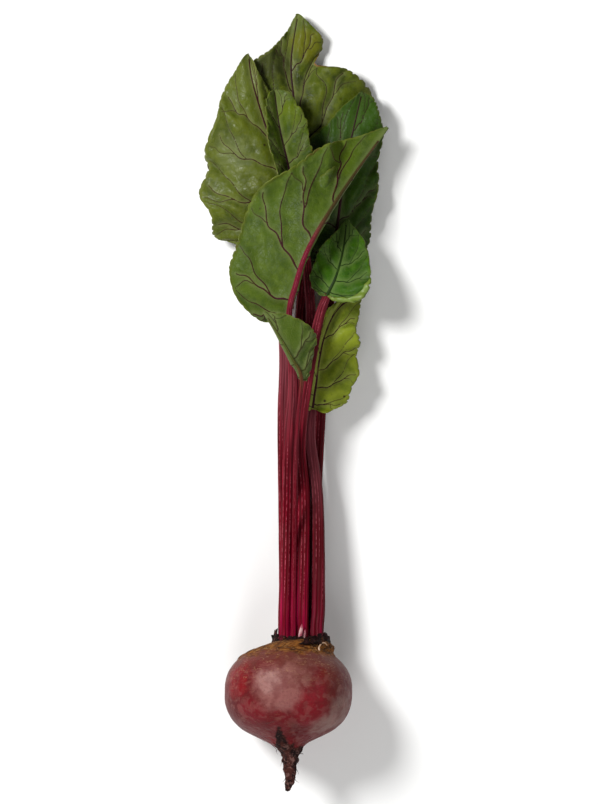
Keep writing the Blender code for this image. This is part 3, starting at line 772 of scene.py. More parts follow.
class Sheet:
    """A surface of rows v and columns u, with its normals, and values between them."""

    def __init__(self, surface, v_axis, u_axis):
        self.surface, self.normals = surface, grid_normals(surface)
        self.v_axis, self.u_axis = v_axis, u_axis

    def sampled(self, grid, v, u):
        i = np.clip(np.searchsorted(self.v_axis, v) - 1, 0, len(self.v_axis) - 2)
        j = np.clip(np.searchsorted(self.u_axis, u) - 1, 0, len(self.u_axis) - 2)
        s = ((v - self.v_axis[i]) / (self.v_axis[i + 1] - self.v_axis[i]))[:, None]
        t = ((u - self.u_axis[j]) / (self.u_axis[j + 1] - self.u_axis[j]))[:, None]
        low = grid[i, j] * (1 - t) + grid[i, j + 1] * t
        high = grid[i + 1, j] * (1 - t) + grid[i + 1, j + 1] * t
        return low * (1 - s) + high * s

    def at(self, v, u):
        """Points of the surface, and its normals there."""
        return self.sampled(self.surface, v, u), unit(self.sampled(self.normals, v, u))


def grid_normals(surface):
    return unit(np.cross(np.gradient(surface, axis=1), np.gradient(surface, axis=0)))


def add_line(soup, sheet, v, u, wide, high, lift, sides):
    """A raised line on a blade: a vein, or the midrib on an upper face."""
    centre, upward = sheet.at(v, u)
    sideways = np.cross(unit(np.gradient(centre, axis=0)), upward)
    soup.tube(centre + upward * lift, wide, high, sideways, sides, slot=3, vein=1.0)


def add_lip(soup, sheet, side, first, last, wide):
    """A strip of the blade's edge turned up and over, so that its pale back shows."""
    v = np.linspace(first, last, LIP_STEPS)
    edge, _ = sheet.at(v, np.full_like(v, side * EDGE_SHARE))
    middle, _ = sheet.at(v, np.zeros_like(v))
    span = np.maximum(np.linalg.norm(edge - middle, axis=1), 1.0)
    share = np.sin(np.pi * (v - first) / (last - first)) ** 0.6
    out = np.linspace(0, 1, LIP_COLUMNS)
    inset = np.minimum((wide * share / span)[:, None] * out, LIP_MOST)
    base, upward = sheet.at(np.repeat(v, LIP_COLUMNS), (side * (EDGE_SHARE - inset)).ravel())
    rise = (LIP_RISE * share[:, None] * np.sin(0.9 * np.pi * out) ** 0.5).ravel() + 0.1
    turned = (base + upward * rise[:, None]).reshape(LIP_STEPS, LIP_COLUMNS, 3)
    soup.sheet(turned, grid_normals(turned), (2, 2, 2))


def make_blade(route, ground, look, materials):
    """One leaf blade with its veins, as a thin closed sheet that replaces the plain solid."""
    leaf = route.leaf
    draw = random.Random(SEED + len(leaf.name) * 31 + int(leaf.widths[0]))
    rows = int(route.blade / GRAIN)
    columns = int(sum(leaf.widths) / GRAIN) | 1
    v_axis = np.linspace(0, 1, rows) ** ROW_EASE
    u_axis = np.linspace(-1, 1, columns)
    v, u = (a.ravel() for a in np.meshgrid(v_axis, u_axis, indexing="ij"))
    surface = fine_points(route, v, u, ground).reshape(rows, columns, 3)
    lines = vein_lines(route, look, draw)
    places = flat_place(route, v, u)
    to_vein = nearest(places, lines, route, 0)
    to_fork = nearest(places, lines, route, 1)
    to_rib = np.abs(places[:, 1])
    surface[:, :, 2] += web(route, v, to_rib).reshape(rows, columns)
    swell = swelling(look, places, to_vein, to_fork, to_rib)
    calm = np.clip((1 - np.abs(u)) / EDGE_CALM, 0.25, 1)
    swell *= calm * np.clip(np.minimum(v, 1 - v) / EDGE_CALM, 0, 1)
    face_up = -1.0 if leaf.underside_up else 1.0
    raise_by = (face_up * (0.8 * swell - SINK)).reshape(rows, columns, 1)
    sheet = Sheet(surface + grid_normals(surface) * raise_by, v_axis, u_axis)

    by_vein, by_fork, by_rib = (bell(*pair) for pair in zip((to_vein, to_fork, to_rib), BORDERS))
    soup = Soup()
    # The puff value drives the painted highlight on the bulges between the veins
    soup.sheet(sheet.surface, sheet.normals, (1, 0, 2) if leaf.underside_up else (0, 1, 2),
               vein=np.clip(by_vein + 0.5 * by_fork + by_rib, 0, 1),
               edge=np.clip((np.abs(u) - EDGE_FROM) / (1 - EDGE_FROM), 0, 1),
               puff=np.clip(swell / FULL_PUFF, 0, 1))
    if leaf.name in LIPS:
        add_lip(soup, sheet, *LIPS[leaf.name])
    for v_line, u_line, thick, rank in lines:
        if rank == 0:
            thick = thick * np.clip(np.abs(u_line) / VEIN_ROOT, 0.6, 1)
        thick = np.maximum(thick, VEIN_LEAST)
        lift = LAMINA / 2 + VEIN_PROUD[leaf.underside_up] - thick
        add_line(soup, sheet, v_line, u_line, thick, thick, lift[:, None], 6)
    if not leaf.underside_up:
        v_line = np.linspace(0.0, EDGE_SHARE, rows // 2)
        wide = np.maximum(RIB_LINE * route.rib_radius(v_line), RIB_LINE_LEAST)
        add_line(soup, sheet, v_line, np.zeros_like(v_line), wide, RIB_LINE_HIGH, RIB_LINE_LIFT, 8)
    return soup.build(f"leaf_blade_{leaf.name}", materials)


def make_stalk(route, look):
    """One ribbed stalk and its midrib, replacing the plain tapering solid."""
    leaf = route.leaf
    s = np.arange(-STALK_SUNK, route.base + route.blade * RIB_REACH, STALK_STEP)
    points = np.stack([np.interp(s, route.s, c) for c in (route.x, route.y, route.z)], -1)
    lead = np.array([c[1] - c[0] for c in (route.x, route.y, route.z)])
    start = np.argmax(s >= 0)
    points[:start] = points[start] + lead * (s[:start] - s[start])[:, None]
    radius = route.radius(np.maximum(s, 0))
    draw = random.Random(SEED + len(leaf.name) * 17)
    phases = [draw.uniform(0, 6.3) for _ in range(3)]
    channel_at = 1.5 * np.pi if leaf.underside_up else 0.5 * np.pi

    def rib_turn(along, angle):
        return STALK_RIBS * angle + phases[0] + 0.5 * np.sin(along / 31 + phases[1])

    def ripple(ring, angle):
        along = s[ring[:, 0]][:, None]
        away = (angle - channel_at + np.pi) % (2 * np.pi) - np.pi
        channel = 0.24 * bell(away, 0.55) - 0.05 * bell(np.abs(away) - 0.85, 0.3)
        ribs = 0.034 * np.cos(rib_turn(along, angle)) + 0.016 * np.cos(FINE_RIBS * angle + phases[2])
        return 0.97 - channel + ribs + 0.010 * np.sin(along / 3.1 + 3 * angle)

    angle = np.tile(np.linspace(0, 2 * np.pi, STALK_SIDES, endpoint=False), len(s))
    along = np.repeat(s, STALK_SIDES)
    soup = Soup()
    soup.tube(points, radius, radius, (1.0, 0.0, 0.0), STALK_SIDES, ripple,
              crest=with_ends(np.cos(rib_turn(along, angle))), along=with_ends(along, s[0], s[-1]),
              share=with_ends(along / route.base, 0.0, 1.5),
              turn_x=with_ends(np.cos(angle)), turn_y=with_ends(np.sin(angle)))
    return soup.build(f"leaf_stalk_{leaf.name}", [stalk_material(f"{leaf.name}_stalk", look)])


# The root

ROOT_ROWS = 250
ROOT_COLUMNS = 288
# Points between two knots of the profile, and how many of its knots lie outside the crown's dish
PER_SPAN = 24
OUTER_KNOTS = 24
# The bent hair on the shoulder: along the root, round it, and its height over the skin
HOOK = ((19.5, -0.83, 0.2), (21.5, -0.88, 0.8), (23.6, -0.90, 1.3), (24.2, -0.85, 1.6),
        (23.8, -0.78, 1.8), (23.0, -0.70, 1.5))
# The pale shoots: out from the crown's middle, round it, how tall, how thick, and how far they lean
BUDS = ((11.6, -1.62, 8.8, 1.05, 0.10), (9.8, -1.42, 6.0, 0.8, 0.25), (3.0, -2.9, 5.0, 1.3, 0.0),
        (4.2, 0.35, 5.5, 1.3, 0.1))
# Rings of points along a stub, a flake and a shoot, and points round each
STUB_STEPS, STUB_ROUND = 14, 18
FLAKE_STEPS, FLAKE_ROUND = 9, 10
BUD_STEPS, BUD_ROUND = 16, 20
FLAKES, SHOULDER_FLAKES = 150, 16
# All the fine roots, those of them on the taproot, and those of them at its two sides
ROOTLETS, TAIL_ROOTLETS, SIDE_ROOTLETS = 22, 16, 12
FIBRES = 150


def root_place(x, y, s):
    """Points of the turned root, moved as the solid's are, in the world's millimetres."""
    turn = np.arctan2(y, x)
    bulb = smoothstep((s + 31) / 14) * smoothstep((26 - s) / 12)
    swell = 1 + bulb * sum(share * np.sin(count * turn + phase) for count, share, phase in BULB_LOBES)
    tail = smoothstep((TAIL_FROM - s) / 6)
    knots, count, twist = TAIL_KNOTS
    rings, pitch = TAIL_RINGS
    swell = swell * (1 + tail * (knots * np.sin(count * turn + twist * s) + rings * np.sin(pitch * s)))
    shift = CROWN_SHIFT * smoothstep((s - CROWN_SHIFT_FROM) / (CROWN_SHIFT_TO - CROWN_SHIFT_FROM))
    sway = tail * TAIL_SWAY * np.sin((TAIL_FROM + 2 - s) / TAIL_SWAY_LENGTH)
    local = np.stack([x * swell + shift + sway, y * swell, s], -1)
    rotation = np.array(Matrix.Rotation(-math.pi / 2 - ROOT_TILT, 3, "X"))
    return local @ rotation.T + np.array(ROOT_CENTRE)


def crown_point(radius, turn, height):
    """Points over the crown floor, in the world's millimetres, for places round its axis."""
    return root_place(radius * np.cos(turn), radius * np.sin(turn), CROWN_FLOOR + height)


def on_skin(s, turn, lift):
    """Points at a height over the root's skin."""
    outside = np.array(ROOT_PROFILE[:OUTER_KNOTS])
    radius = np.interp(s, outside[:, 0], outside[:, 1]) + lift
    return root_place(radius * np.cos(turn), radius * np.sin(turn), s)


def around(turn):
    """The direction round the crown at this turn."""
    return (-math.sin(turn), 0.0, -math.cos(turn))


def make_root():
    """The bulb, taproot and crown floor, with cork, rings, pits and a knotty tail."""
    curve, _ = catmull_rom(ROOT_PROFILE, PER_SPAN)
    steps = np.concatenate([[0.0], np.cumsum(np.hypot(*np.diff(curve, axis=0).T))])
    even = np.linspace(0, steps[-1], ROOT_ROWS)
    axial = np.interp(even, steps, curve[:, 0])
    radius = np.maximum(np.interp(even, steps, curve[:, 1]), 0.02)
    outside = (even < steps[(len(ROOT_PROFILE) - 3) * PER_SPAN]).astype(float)
    s, r, out = (np.repeat(values, ROOT_COLUMNS) for values in (axial, radius, outside))
    turn = np.tile(np.linspace(0, 2 * np.pi, ROOT_COLUMNS, endpoint=False), ROOT_ROWS)
    cos, sin = np.cos(turn), np.sin(turn)
    flat = np.stack([r * cos, r * sin, s], -1)
    ringed = flat * np.array([0.22, 0.22, 1.0])
    streak = lumps(flat * np.array([1.0, 1.0, 0.2]), 3.0, 12)

    # Where the skin is cork, where it is the rough taproot, and what is left of it
    cork = smoothstep((s - 14.5 - 3.5 * lumps(flat, 9.0, 3) - 2.0 * streak) / 6) * out
    spur = bell(flat[:, 0] + 4.2, 3.0) * (sin < 0)
    tail = smoothstep((-29.5 - s + 8.5 * spur + 3.0 * streak) / 3)
    body = (1 - cork) * (1 - tail) * out

    # How far the skin stands out: lumps, scars, the cork's cracks, wrinkles and the knotty tail
    bump = 0.35 * lumps(flat, 24.0, 5, 2) * out * (1 - tail)
    bump += body * (0.10 * lumps(flat, 2.2, 6, 2) + 0.16 * lumps(flat, 7.0, 14, 3))
    scar = smoothstep((lumps(ringed, 1.9, 7, 2) - 0.50) / 0.15) * smoothstep(lumps(flat, 14.0, 8, 2) / 0.3)
    bump -= body * 0.16 * scar
    crack = smoothstep((0.13 - np.abs(lumps(ringed, 1.9, 9, 3))) / 0.1)
    bump += cork * (0.20 * lumps(flat, 3.0, 10, 3) - 0.26 * crack)
    wrinkle = smoothstep((-18 - s) / 8) * smoothstep((s + 38) / 8)
    bump -= wrinkle * 0.7 * np.abs(streak)
    bump += tail * (0.34 * lumps(ringed, 1.9, 11, 2) + 0.45 * lumps(flat, 2.4, 13, 3))
    bump *= np.clip(r / 2.5, 0, 1)

    world = root_place(flat[:, 0] + cos * bump, flat[:, 1] + sin * bump, s)
    world[:, 2] = np.maximum(world[:, 2], 0.0)
    ends = axial[[0, -1]]
    soup = Soup()
    soup.add(np.vstack([world, root_place(np.zeros(2), np.zeros(2), ends)]),
             tube_faces(ROOT_ROWS, ROOT_COLUMNS), axial=with_ends(s, *ends),
             cork=with_ends(cork, 0, 1), tail=with_ends(tail, 1, 0), crack=with_ends(crack),
             scar=with_ends(scar), dish=with_ends(1 - out, 0, 1))
    return soup.build("beet_root", [root_material()])


def make_collar():
    """The ring of dead leaf bases round the crown: stubs where the solid has them, with torn flakes."""
    soup = Soup()
    draw = random.Random(SEED)
    for number in range(STUB_COUNT):
        turn = 2 * math.pi * (number + draw.uniform(-0.3, 0.3)) / STUB_COUNT
        height = stub_height(turn, draw)
        lean = math.radians(draw.uniform(*STUB_LEANS))
        foot, tip = draw.uniform(*STUB_FEET), draw.uniform(*STUB_TIPS)
        along = np.linspace(-3.0, height, STUB_STEPS)
        radial = STUB_RING + along * math.sin(lean) + 0.25 * np.sin(along * 1.3 + number)
        path = crown_point(radial, turn + 0.02 * np.sin(along + number), along * math.cos(lean))
        size = np.interp(along, [-STUB_SUNK, height], [foot, tip])

        def ripple(ring, angle):
            return 1 + 0.16 * np.sin(5 * angle + number + 0.4 * ring) + 0.10 * np.sin(3 * angle - 0.9 * ring)

        soup.tube(path, size, size * STUB_FLATNESS, around(turn), STUB_ROUND, ripple,
                  height=with_ends(np.repeat(along / height, STUB_ROUND), 0.0, 1.0))

    def ragged(ring, angle):
        return 1 + 0.22 * np.sin(2 * angle + 1.7 * ring)

    draw = random.Random(SEED + 1)
    for number in range(FLAKES):
        turn = draw.uniform(0, 2 * math.pi)
        upper = max(0.0, -math.sin(turn)) ** 2
        height = draw.uniform(1.0, 5.0) * (1 - 0.6 * upper)
        start = draw.uniform(14.0, 16.3)
        lean = math.radians(draw.uniform(-16, 4) + 40 * upper * draw.random())
        if math.cos(turn) < -0.93 and number % 2:
            height, start, lean = draw.uniform(5.0, 9.5), draw.uniform(14.0, 15.0), -0.03
        along = np.linspace(-1.5, height, FLAKE_STEPS)
        radial = start + along * math.sin(lean)
        path = crown_point(radial, turn + draw.uniform(-0.03, 0.03) * along, along * math.cos(lean) * 0.9)
        widths = [draw.uniform(1.0, 2.2), draw.uniform(0.9, 2.0), draw.uniform(0.7, 1.5), 0.2]
        wide = np.interp(along / height, [-0.3, 0.5, 0.85, 1.0], widths)
        soup.tube(path, wide, draw.uniform(0.3, 0.6), around(turn), FLAKE_ROUND, ragged,
                  draw.choice((0, 0, 0, 0, 1, 1, 2)),
                  height=with_ends(np.repeat(along / height, FLAKE_ROUND), 0.0, 1.0))
    share = np.linspace(0, 1, FLAKE_STEPS)
    for _ in range(SHOULDER_FLAKES):
        turn = draw.uniform(-1.45, -0.85)
        top = draw.uniform(24.0, 27.0)
        height = draw.uniform(0.1, 0.5) + 0.5 * np.sin(np.pi * share)
        s = top - draw.uniform(1.0, 2.2) * share
        path = on_skin(s, turn + draw.uniform(-0.12, 0.12) * share, height)
        wide = draw.uniform(0.8, 1.5) * np.sqrt(np.sin(np.pi * (0.04 + 0.92 * share)))
        soup.tube(path, wide, 0.6 * wide, (1.0, 0.0, 0.0), FLAKE_ROUND, ragged, height=0.5)
    return soup.build("crown_collar", [
        dead_material("dead_base", (0.005, 0.0012, 0.001), (0.022, 0.005, 0.004)),
        dead_material("torn_flake", (0.014, 0.004, 0.002), (0.085, 0.030, 0.013)),
        dead_material("red_flake", (0.030, 0.001, 0.003), (0.090, 0.004, 0.014)),
    ])


def make_buds():
    """The small pale shoots in the middle of the crown."""
    soup = Soup()

    def ripple(ring, angle):
        return 1 + 0.09 * np.cos(5 * angle + 0.2 * ring)

    for radius, turn, height, size, lean in BUDS:
        along = np.linspace(-1.0, height, BUD_STEPS)
        path = crown_point(radius + lean * np.maximum(along, 0), turn + 0.012 * along, along)
        share = np.clip(along / height, 0, 1)
        wide = size * np.sqrt(np.clip(1 - share**2.2, 0, 1)) * (0.8 + 0.35 * np.sin(np.pi * share)) + 0.03
        soup.tube(path, wide, wide * 0.8, around(turn), BUD_ROUND, ripple,
                  height=with_ends(np.repeat(share, BUD_ROUND), 0.0, 1.0))
    tones = (0.30, 0.050, 0.080), (0.48, 0.26, 0.26)
    return soup.build("crown_buds", [plain_material("pale_bud", *tones, 2.5, 0.35)])


def make_rootlets():
    """Fine roots on the taproot, loose fibres on the shoulder and one bent pale hair there."""
    soup = Soup()
    draw = random.Random(SEED + 2)
    t = np.linspace(0, 1, 14)
    for number in range(ROOTLETS):
        s = draw.uniform(-51, -25) if number < TAIL_ROOTLETS else draw.uniform(-25, -18)
        if number < SIDE_ROOTLETS:
            turn = draw.choice([0.2, math.pi + 0.1]) + draw.gauss(0, 0.5)
        else:
            turn = draw.uniform(0, 6.3)
        length = draw.uniform(1.5, 6.0) if s < -28 else draw.uniform(0.8, 2.0)
        out = length * t * draw.uniform(0.35, 0.8) - 0.5
        along = s - length * t**1.3 * draw.uniform(0.3, 0.8) + 0.5 * np.sin(5 * t + number)
        path = on_skin(np.maximum(along, -54.5), turn + draw.uniform(-0.25, 0.25) * t * 3, out)
        path[:, 2] = np.maximum(path[:, 2], 0.4)
        thick = draw.uniform(0.12, 0.3) * (1 - 0.8 * t)
        soup.tube(path, thick, thick, (0.3, 0.2, 1.0), 6, height=0.5)
    for number in range(FIBRES):
        middle = draw.uniform(18.5, 26.0)
        heading, length = draw.uniform(-0.9, 0.9), draw.uniform(1.5, 5.0)
        curve = length * (t - 0.5)
        s = middle + curve * math.sin(heading) + draw.uniform(-0.8, 0.8) * np.cos(3 * t + number)
        turn = draw.uniform(0, 6.3) + curve * math.cos(heading) / 22
        thick = draw.uniform(0.08, 0.18) * np.sin(np.pi * (0.1 + 0.8 * t))
        lift = 0.05 + draw.uniform(0.0, 0.5) * np.sin(np.pi * t)
        path = on_skin(np.minimum(s, 26.6), turn, lift)
        soup.tube(path, thick, thick, (0.3, 0.2, 1.0), 5, slot=1, height=1.0)
    hook, _ = catmull_rom(HOOK, 6)
    thick = np.linspace(0.45, 0.22, len(hook))
    soup.tube(on_skin(*hook.T), thick, thick, (0.2, 0.4, 1.0), 8, slot=2, height=1.0)
    return soup.build("rootlets", [
        plain_material("root_hair", (0.028, 0.011, 0.008), (0.10, 0.05, 0.04), 1.5, 0.7),
        plain_material("shoulder_fibre", (0.075, 0.028, 0.006), (0.26, 0.12, 0.035), 6.0, 0.7),
        plain_material("pale_hair", (0.42, 0.26, 0.16), (0.60, 0.42, 0.30), 1.5, 0.6),
    ])


# Materials


class Shader:
    """A Principled material and short ways to add the nodes that feed it."""

    def __init__(self, name, roughness=0.5, specular=0.5):
        self.material = bpy.data.materials.new(name)
        self.material.use_nodes = True
        self.tree = self.material.node_tree
        self.principled = self.tree.nodes["Principled BSDF"]
        self.principled.inputs["Roughness"].default_value = roughness
        self.principled.inputs["Specular IOR Level"].default_value = specular
        self.places = self.node("ShaderNodeTexCoord").outputs["Object"]

    def node(self, kind, inputs=None, **settings):
        node = self.tree.nodes.new(kind)
        for key, value in settings.items():
            setattr(node, key, value)
        for key, value in (inputs or {}).items():
            self.feed(node.inputs[key], value)
        return node

    def feed(self, socket, value):
        if isinstance(value, bpy.types.NodeSocket):
            self.tree.links.new(value, socket)
        elif isinstance(value, tuple) and len(value) == 3 and socket.type == "RGBA":
            socket.default_value = (*value, 1.0)
        else:
            socket.default_value = value

    def attribute(self, name):
        return self.node("ShaderNodeAttribute", attribute_name=name).outputs["Fac"]

    def noise(self, size, detail=3.0, places=None, distortion=0.0):
        """Noise with lumps of about this size in mm, from 0 to 1."""
        inputs = {"Vector": places or self.places, "Scale": 1 / (size * MM), "Detail": detail,
                  "Distortion": distortion}
        return self.node("ShaderNodeTexNoise", inputs).outputs["Fac"]

    def cells(self, size, feature="DISTANCE_TO_EDGE"):
        inputs = {"Vector": self.places, "Scale": 1 / (size * MM)}
        return self.node("ShaderNodeTexVoronoi", inputs, feature=feature).outputs["Distance"]

    def step(self, value, low, high):
        """0 below low, 1 above high, smooth between; low may be the larger."""
        inputs = {"Value": value, "From Min": low, "From Max": high}
        return self.node("ShaderNodeMapRange", inputs, interpolation_type="SMOOTHSTEP").outputs["Result"]

    def patches(self, size, detail, low, high, **settings):
        """Ragged patches where noise of this size is over low, whole where it is over high."""
        return self.step(self.noise(size, detail, **settings), low, high)

    def scaled(self, value, low, high):
        inputs = {"Value": value, "To Min": low, "To Max": high}
        return self.node("ShaderNodeMapRange", inputs).outputs["Result"]

    def maths(self, operation, *values):
        return self.node("ShaderNodeMath", dict(enumerate(values)), operation=operation).outputs[0]

    def times(self, product, *others):
        for other in others:
            product = self.maths("MULTIPLY", product, other)
        return product

    def plus(self, a, b):
        return self.maths("ADD", a, b)

    def near(self, point, inner, outer, ragged=12.0):
        """1 within inner mm of a point, 0 beyond outer, with a ragged edge."""
        away = self.node("ShaderNodeVectorMath", {0: self.places}, operation="DISTANCE")
        away.inputs[1].default_value = [c * MM for c in point]
        reach = self.plus(away.outputs["Value"], self.times(self.noise(6.0, 6.0), ragged * MM))
        return self.step(reach, (outer + ragged / 2) * MM, (inner + ragged / 2) * MM)

    def lines(self, size, thin, places):
        """Thin winding lines, 1 on them and 0 between."""
        distance = self.maths("ABSOLUTE", self.plus(self.noise(size, 2.0, places), -0.5))
        return self.step(distance, thin, thin * 0.3)

    def mix(self, factor, a, b):
        node = self.node("ShaderNodeMix", data_type="RGBA", blend_type="MIX")
        self.feed(node.inputs["Factor"], factor)
        self.feed(node.inputs[6], a)
        self.feed(node.inputs[7], b)
        return node.outputs[2]

    def painted(self, colour, *coats):
        """A colour under coats of others, each a tone and then the shares that it covers by."""
        for tone, *shares in coats:
            colour = self.mix(self.times(*shares), colour, tone)
        return colour

    def finish(self, colour, roughness, height=None, depth=0.1):
        """Links the colour and roughness, and a bump of this depth in mm where a height is given."""
        self.feed(self.principled.inputs["Base Color"], colour)
        self.feed(self.principled.inputs["Roughness"], roughness)
        if height is not None:
            bump = self.node("ShaderNodeBump", {"Height": height, "Strength": 1.0, "Distance": depth * MM})
            self.feed(self.principled.inputs["Normal"], bump.outputs[0])
        return self.material


def toward(tone, other, share):
    """A tone with a share of another in it."""
    return tuple((1 - share) * a + share * b for a, b in zip(tone, other))


def brighter(tone, gain, lift=0.0):
    return tuple(min(1.0, gain * c + lift) for c in tone)


def leaf_material(name, look, underside, painted_sheen=None, torn=None, light_and_shade=()):
    """The green of a blade: mottled, with pale borders along its veins, a fine net between them, painted
    highlights on its bulges and in pale grey patches, and patches of painted light and shade.
    """
    shader = Shader(name, specular=0.17 if painted_sheen and not underside else 0.10)
    tones = look.dark, look.mid, look.light
    if underside:
        tones = [toward(tone, (0.11, 0.14, 0.035), 0.07) for tone in tones]
    dark, mid, light = tones
    pale = toward(look.light, (0.17, 0.20, 0.02), 0.3)
    border = toward(look.light, (0.24, 0.25, 0.13), 0.28)
    # Painted light: a lighter green on the bulges between the veins, where light falls on them, mixed with
    # random mottling
    lit_domes_and_mottle = shader.plus(shader.times(shader.attribute("puff"), 0.5),
                         shader.times(shader.patches(4.2, 4.0, 0.42, 0.66), 0.35))
    net = shader.step(shader.cells(2.6), 0.07, 0.0)
    small_net = shader.step(shader.cells(1.1), 0.10, 0.0)
    colour = shader.painted(
        shader.mix(shader.patches(15.0, 2.0, 0.40, 0.58), dark, mid),
        (light, lit_domes_and_mottle),
        (pale, net, 0.22),
        (pale, small_net, 0.08),
        (border, shader.attribute("vein"), 0.62),
    )
    # A painted highlight: pale grey mixed into the green round a place, the net darker within it
    if painted_sheen:
        sheen_patch = shader.near(*painted_sheen)
        grey = toward(look.light, (0.24, 0.27, 0.16), 0.4)
        colour = shader.painted(colour, (grey, sheen_patch, 0.5), (look.mid, sheen_patch, net, 0.5))
    # Painted light and shade: patches lighter where the leaf is lit and darker where it lies in shade
    for point, inner, outer, tone in light_and_shade:
        colour = shader.painted(colour, (tone, shader.near(point, inner, outer), 0.75))
    edge = shader.attribute("edge")
    colour = shader.painted(
        colour,
        ((0.15, 0.16, 0.02), edge, 0.45),
        ((0.060, 0.028, 0.006), edge, shader.patches(12.0, 2.0, 0.66, 0.74)),
    )
    if torn:
        colour = shader.painted(colour, ((0.26, 0.12, 0.05), edge, shader.near(*torn)))
    speck = shader.step(shader.cells(8.0, "F1"), 0.14, 0.06)
    colour = shader.painted(colour, ((0.022, 0.012, 0.003), speck, shader.patches(30.0, 3.0, 0.52, 0.6)))
    rough = shader.scaled(shader.noise(2.8), look.gloss - 0.10, look.gloss + 0.16)
    height = shader.plus(shader.times(net, -0.6), shader.times(shader.noise(0.9), 0.4))
    return shader.finish(colour, rough, shader.plus(height, shader.times(small_net, -0.35)), 0.14)


def rim_material(name, look):
    """The cut of a blade's edge, a little paler than its face."""
    shader = Shader(name, 0.5)
    colour = shader.mix(shader.noise(6.0), brighter(look.light, 1.2), (0.17, 0.20, 0.025))
    fleck = shader.patches(3.0, 3.0, 0.55, 0.68)
    return shader.finish(shader.painted(colour, ((0.16, 0.05, 0.03), fleck, 0.6)), 0.5)


def vein_material(name, look):
    """A vein: dark maroon, here and there greenish along its thinner parts."""
    shader = Shader(name, 0.42, 0.08)
    colour = shader.mix(shader.noise(1.2), look.vein, brighter(look.vein, 1.7, 0.004))
    colour = shader.painted(colour, (look.light, shader.patches(9.0, 3.0, 0.50, 0.72), 0.22))
    return shader.finish(colour, shader.scaled(shader.noise(1.5), 0.36, 0.54), shader.noise(0.5), 0.05)


def stalk_material(name, look):
    """A ribbed stalk: magenta at the crown, crimson, then dark, with a painted greyish mauve highlight
    higher up, painted shade in the grooves between its ribs, and painted glints in pale dotted lines along
    their crests.
    """
    shader = Shader(name, specular=0.05)
    along, share, crest = (shader.attribute(key) for key in ("along", "share", "crest"))
    turn_x, turn_y = (shader.times(shader.attribute(key), 4.0 * MM) for key in ("turn_x", "turn_y"))

    def unrolled(stretch):
        """Places round the stalk and along it, drawn out so that noise makes streaks."""
        inputs = {"X": turn_x, "Y": turn_y, "Z": shader.times(along, stretch * MM)}
        return shader.node("ShaderNodeCombineXYZ", inputs).outputs[0]

    drawn, dashed = unrolled(0.03), unrolled(0.35)
    streak = shader.patches(0.75, 3.0, 0.34, 0.68, places=drawn)
    broad = shader.patches(2.6, 2.0, 0.36, 0.62, places=drawn)
    crimson = shader.mix(streak, (0.095, 0.0004, 0.0045), (0.260, 0.0012, 0.0170))
    magenta = shader.mix(streak, (0.140, 0.0006, 0.0060), (0.380, 0.0026, 0.0560))
    magenta = shader.painted(magenta, ((0.085, 0.0005, 0.0030), broad, 0.7))
    # Painted glints: pale dots along the crests of the ribs, where light catches them
    glint_crests = shader.times(shader.step(crest, 0.78, 0.97), shader.patches(2.2, 1.0, 0.46, 0.56, places=drawn))
    glint_dots = shader.times(glint_crests, shader.patches(0.5, 2.0, 0.46, 0.57, places=dashed))
    # A painted highlight: greyish mauve streaks on the upper stalk
    mauve = shader.times(shader.step(share, 0.45, 0.8), shader.step(share, 1.1, 0.95), look.mauve)
    colour = shader.painted(
        crimson,
        ((0.045, 0.0006, 0.0020), broad, 0.6),
        (magenta, shader.step(along, 60.0, 5.0)),
        (shader.mix(streak, (0.050, 0.0005, 0.0030), (0.190, 0.0035, 0.0150)), shader.step(share, 0.2, 0.9)),
        (shader.mix(streak, look.rib, brighter(look.rib, 1.5, 0.005)), shader.step(share, 0.92, 1.12)),
        (look.rib_end, shader.step(share, 1.20, 1.36)),
        # Painted shade in the grooves between the ribs
        ((0.020, 0.0006, 0.0016), shader.step(crest, -0.35, -0.95), 0.65),
        ((0.040, 0.0005, 0.0018), shader.step(share, 1.0, 0.6), look.dusky),
        # The painted greyish mauve highlight
        ((0.210, 0.058, 0.072), mauve, shader.scaled(streak, 0.4, 1.0)),
        # Painted glints on the rib crests
        ((0.58, 0.15, 0.19), glint_dots, 0.8),
    )
    rough = shader.scaled(shader.noise(1.1, places=dashed), 0.34, 0.56)
    height = shader.plus(shader.noise(0.6, places=drawn), shader.times(shader.noise(0.5), 0.25))
    return shader.finish(colour, rough, height, 0.28)


# Patches on the root's skin, most of them its own tones and some painted light: a place in mm, how far it is
# whole, where it ends, its colour and strength
SKIN_TONES_AND_HIGHLIGHTS = (
    ((-24, 8, 52), 7, 14, (0.170, 0.003, 0.006), 0.90),
    ((-18, -8, 58), 6, 11, (0.150, 0.004, 0.010), 0.75),
    ((13, -7, 64), 7, 15, (0.180, 0.006, 0.012), 0.80),
    ((24, 10, 56), 5, 11, (0.120, 0.014, 0.006), 0.70),
    ((26, -1, 54), 6, 13, (0.080, 0.006, 0.004), 0.75),
    # A painted reflection: a pale grey band along the lower right of the bulb
    ((27, -10, 48), 7, 15, (0.190, 0.110, 0.095), 0.75),
    ((19, -18, 52), 4, 11, (0.200, 0.110, 0.094), 0.65),
    # The grey bloom on top of the bulb, with a painted highlight on it
    ((-6, 4, 68), 9, 18, (0.215, 0.080, 0.072), 0.85),
    ((-10, 7, 67), 3, 9, (0.290, 0.145, 0.128), 0.65),
    ((5, 13, 64), 6, 14, (0.165, 0.062, 0.050), 0.70),
    ((-4, -15, 62), 6, 10, (0.125, 0.002, 0.006), 0.95),
)


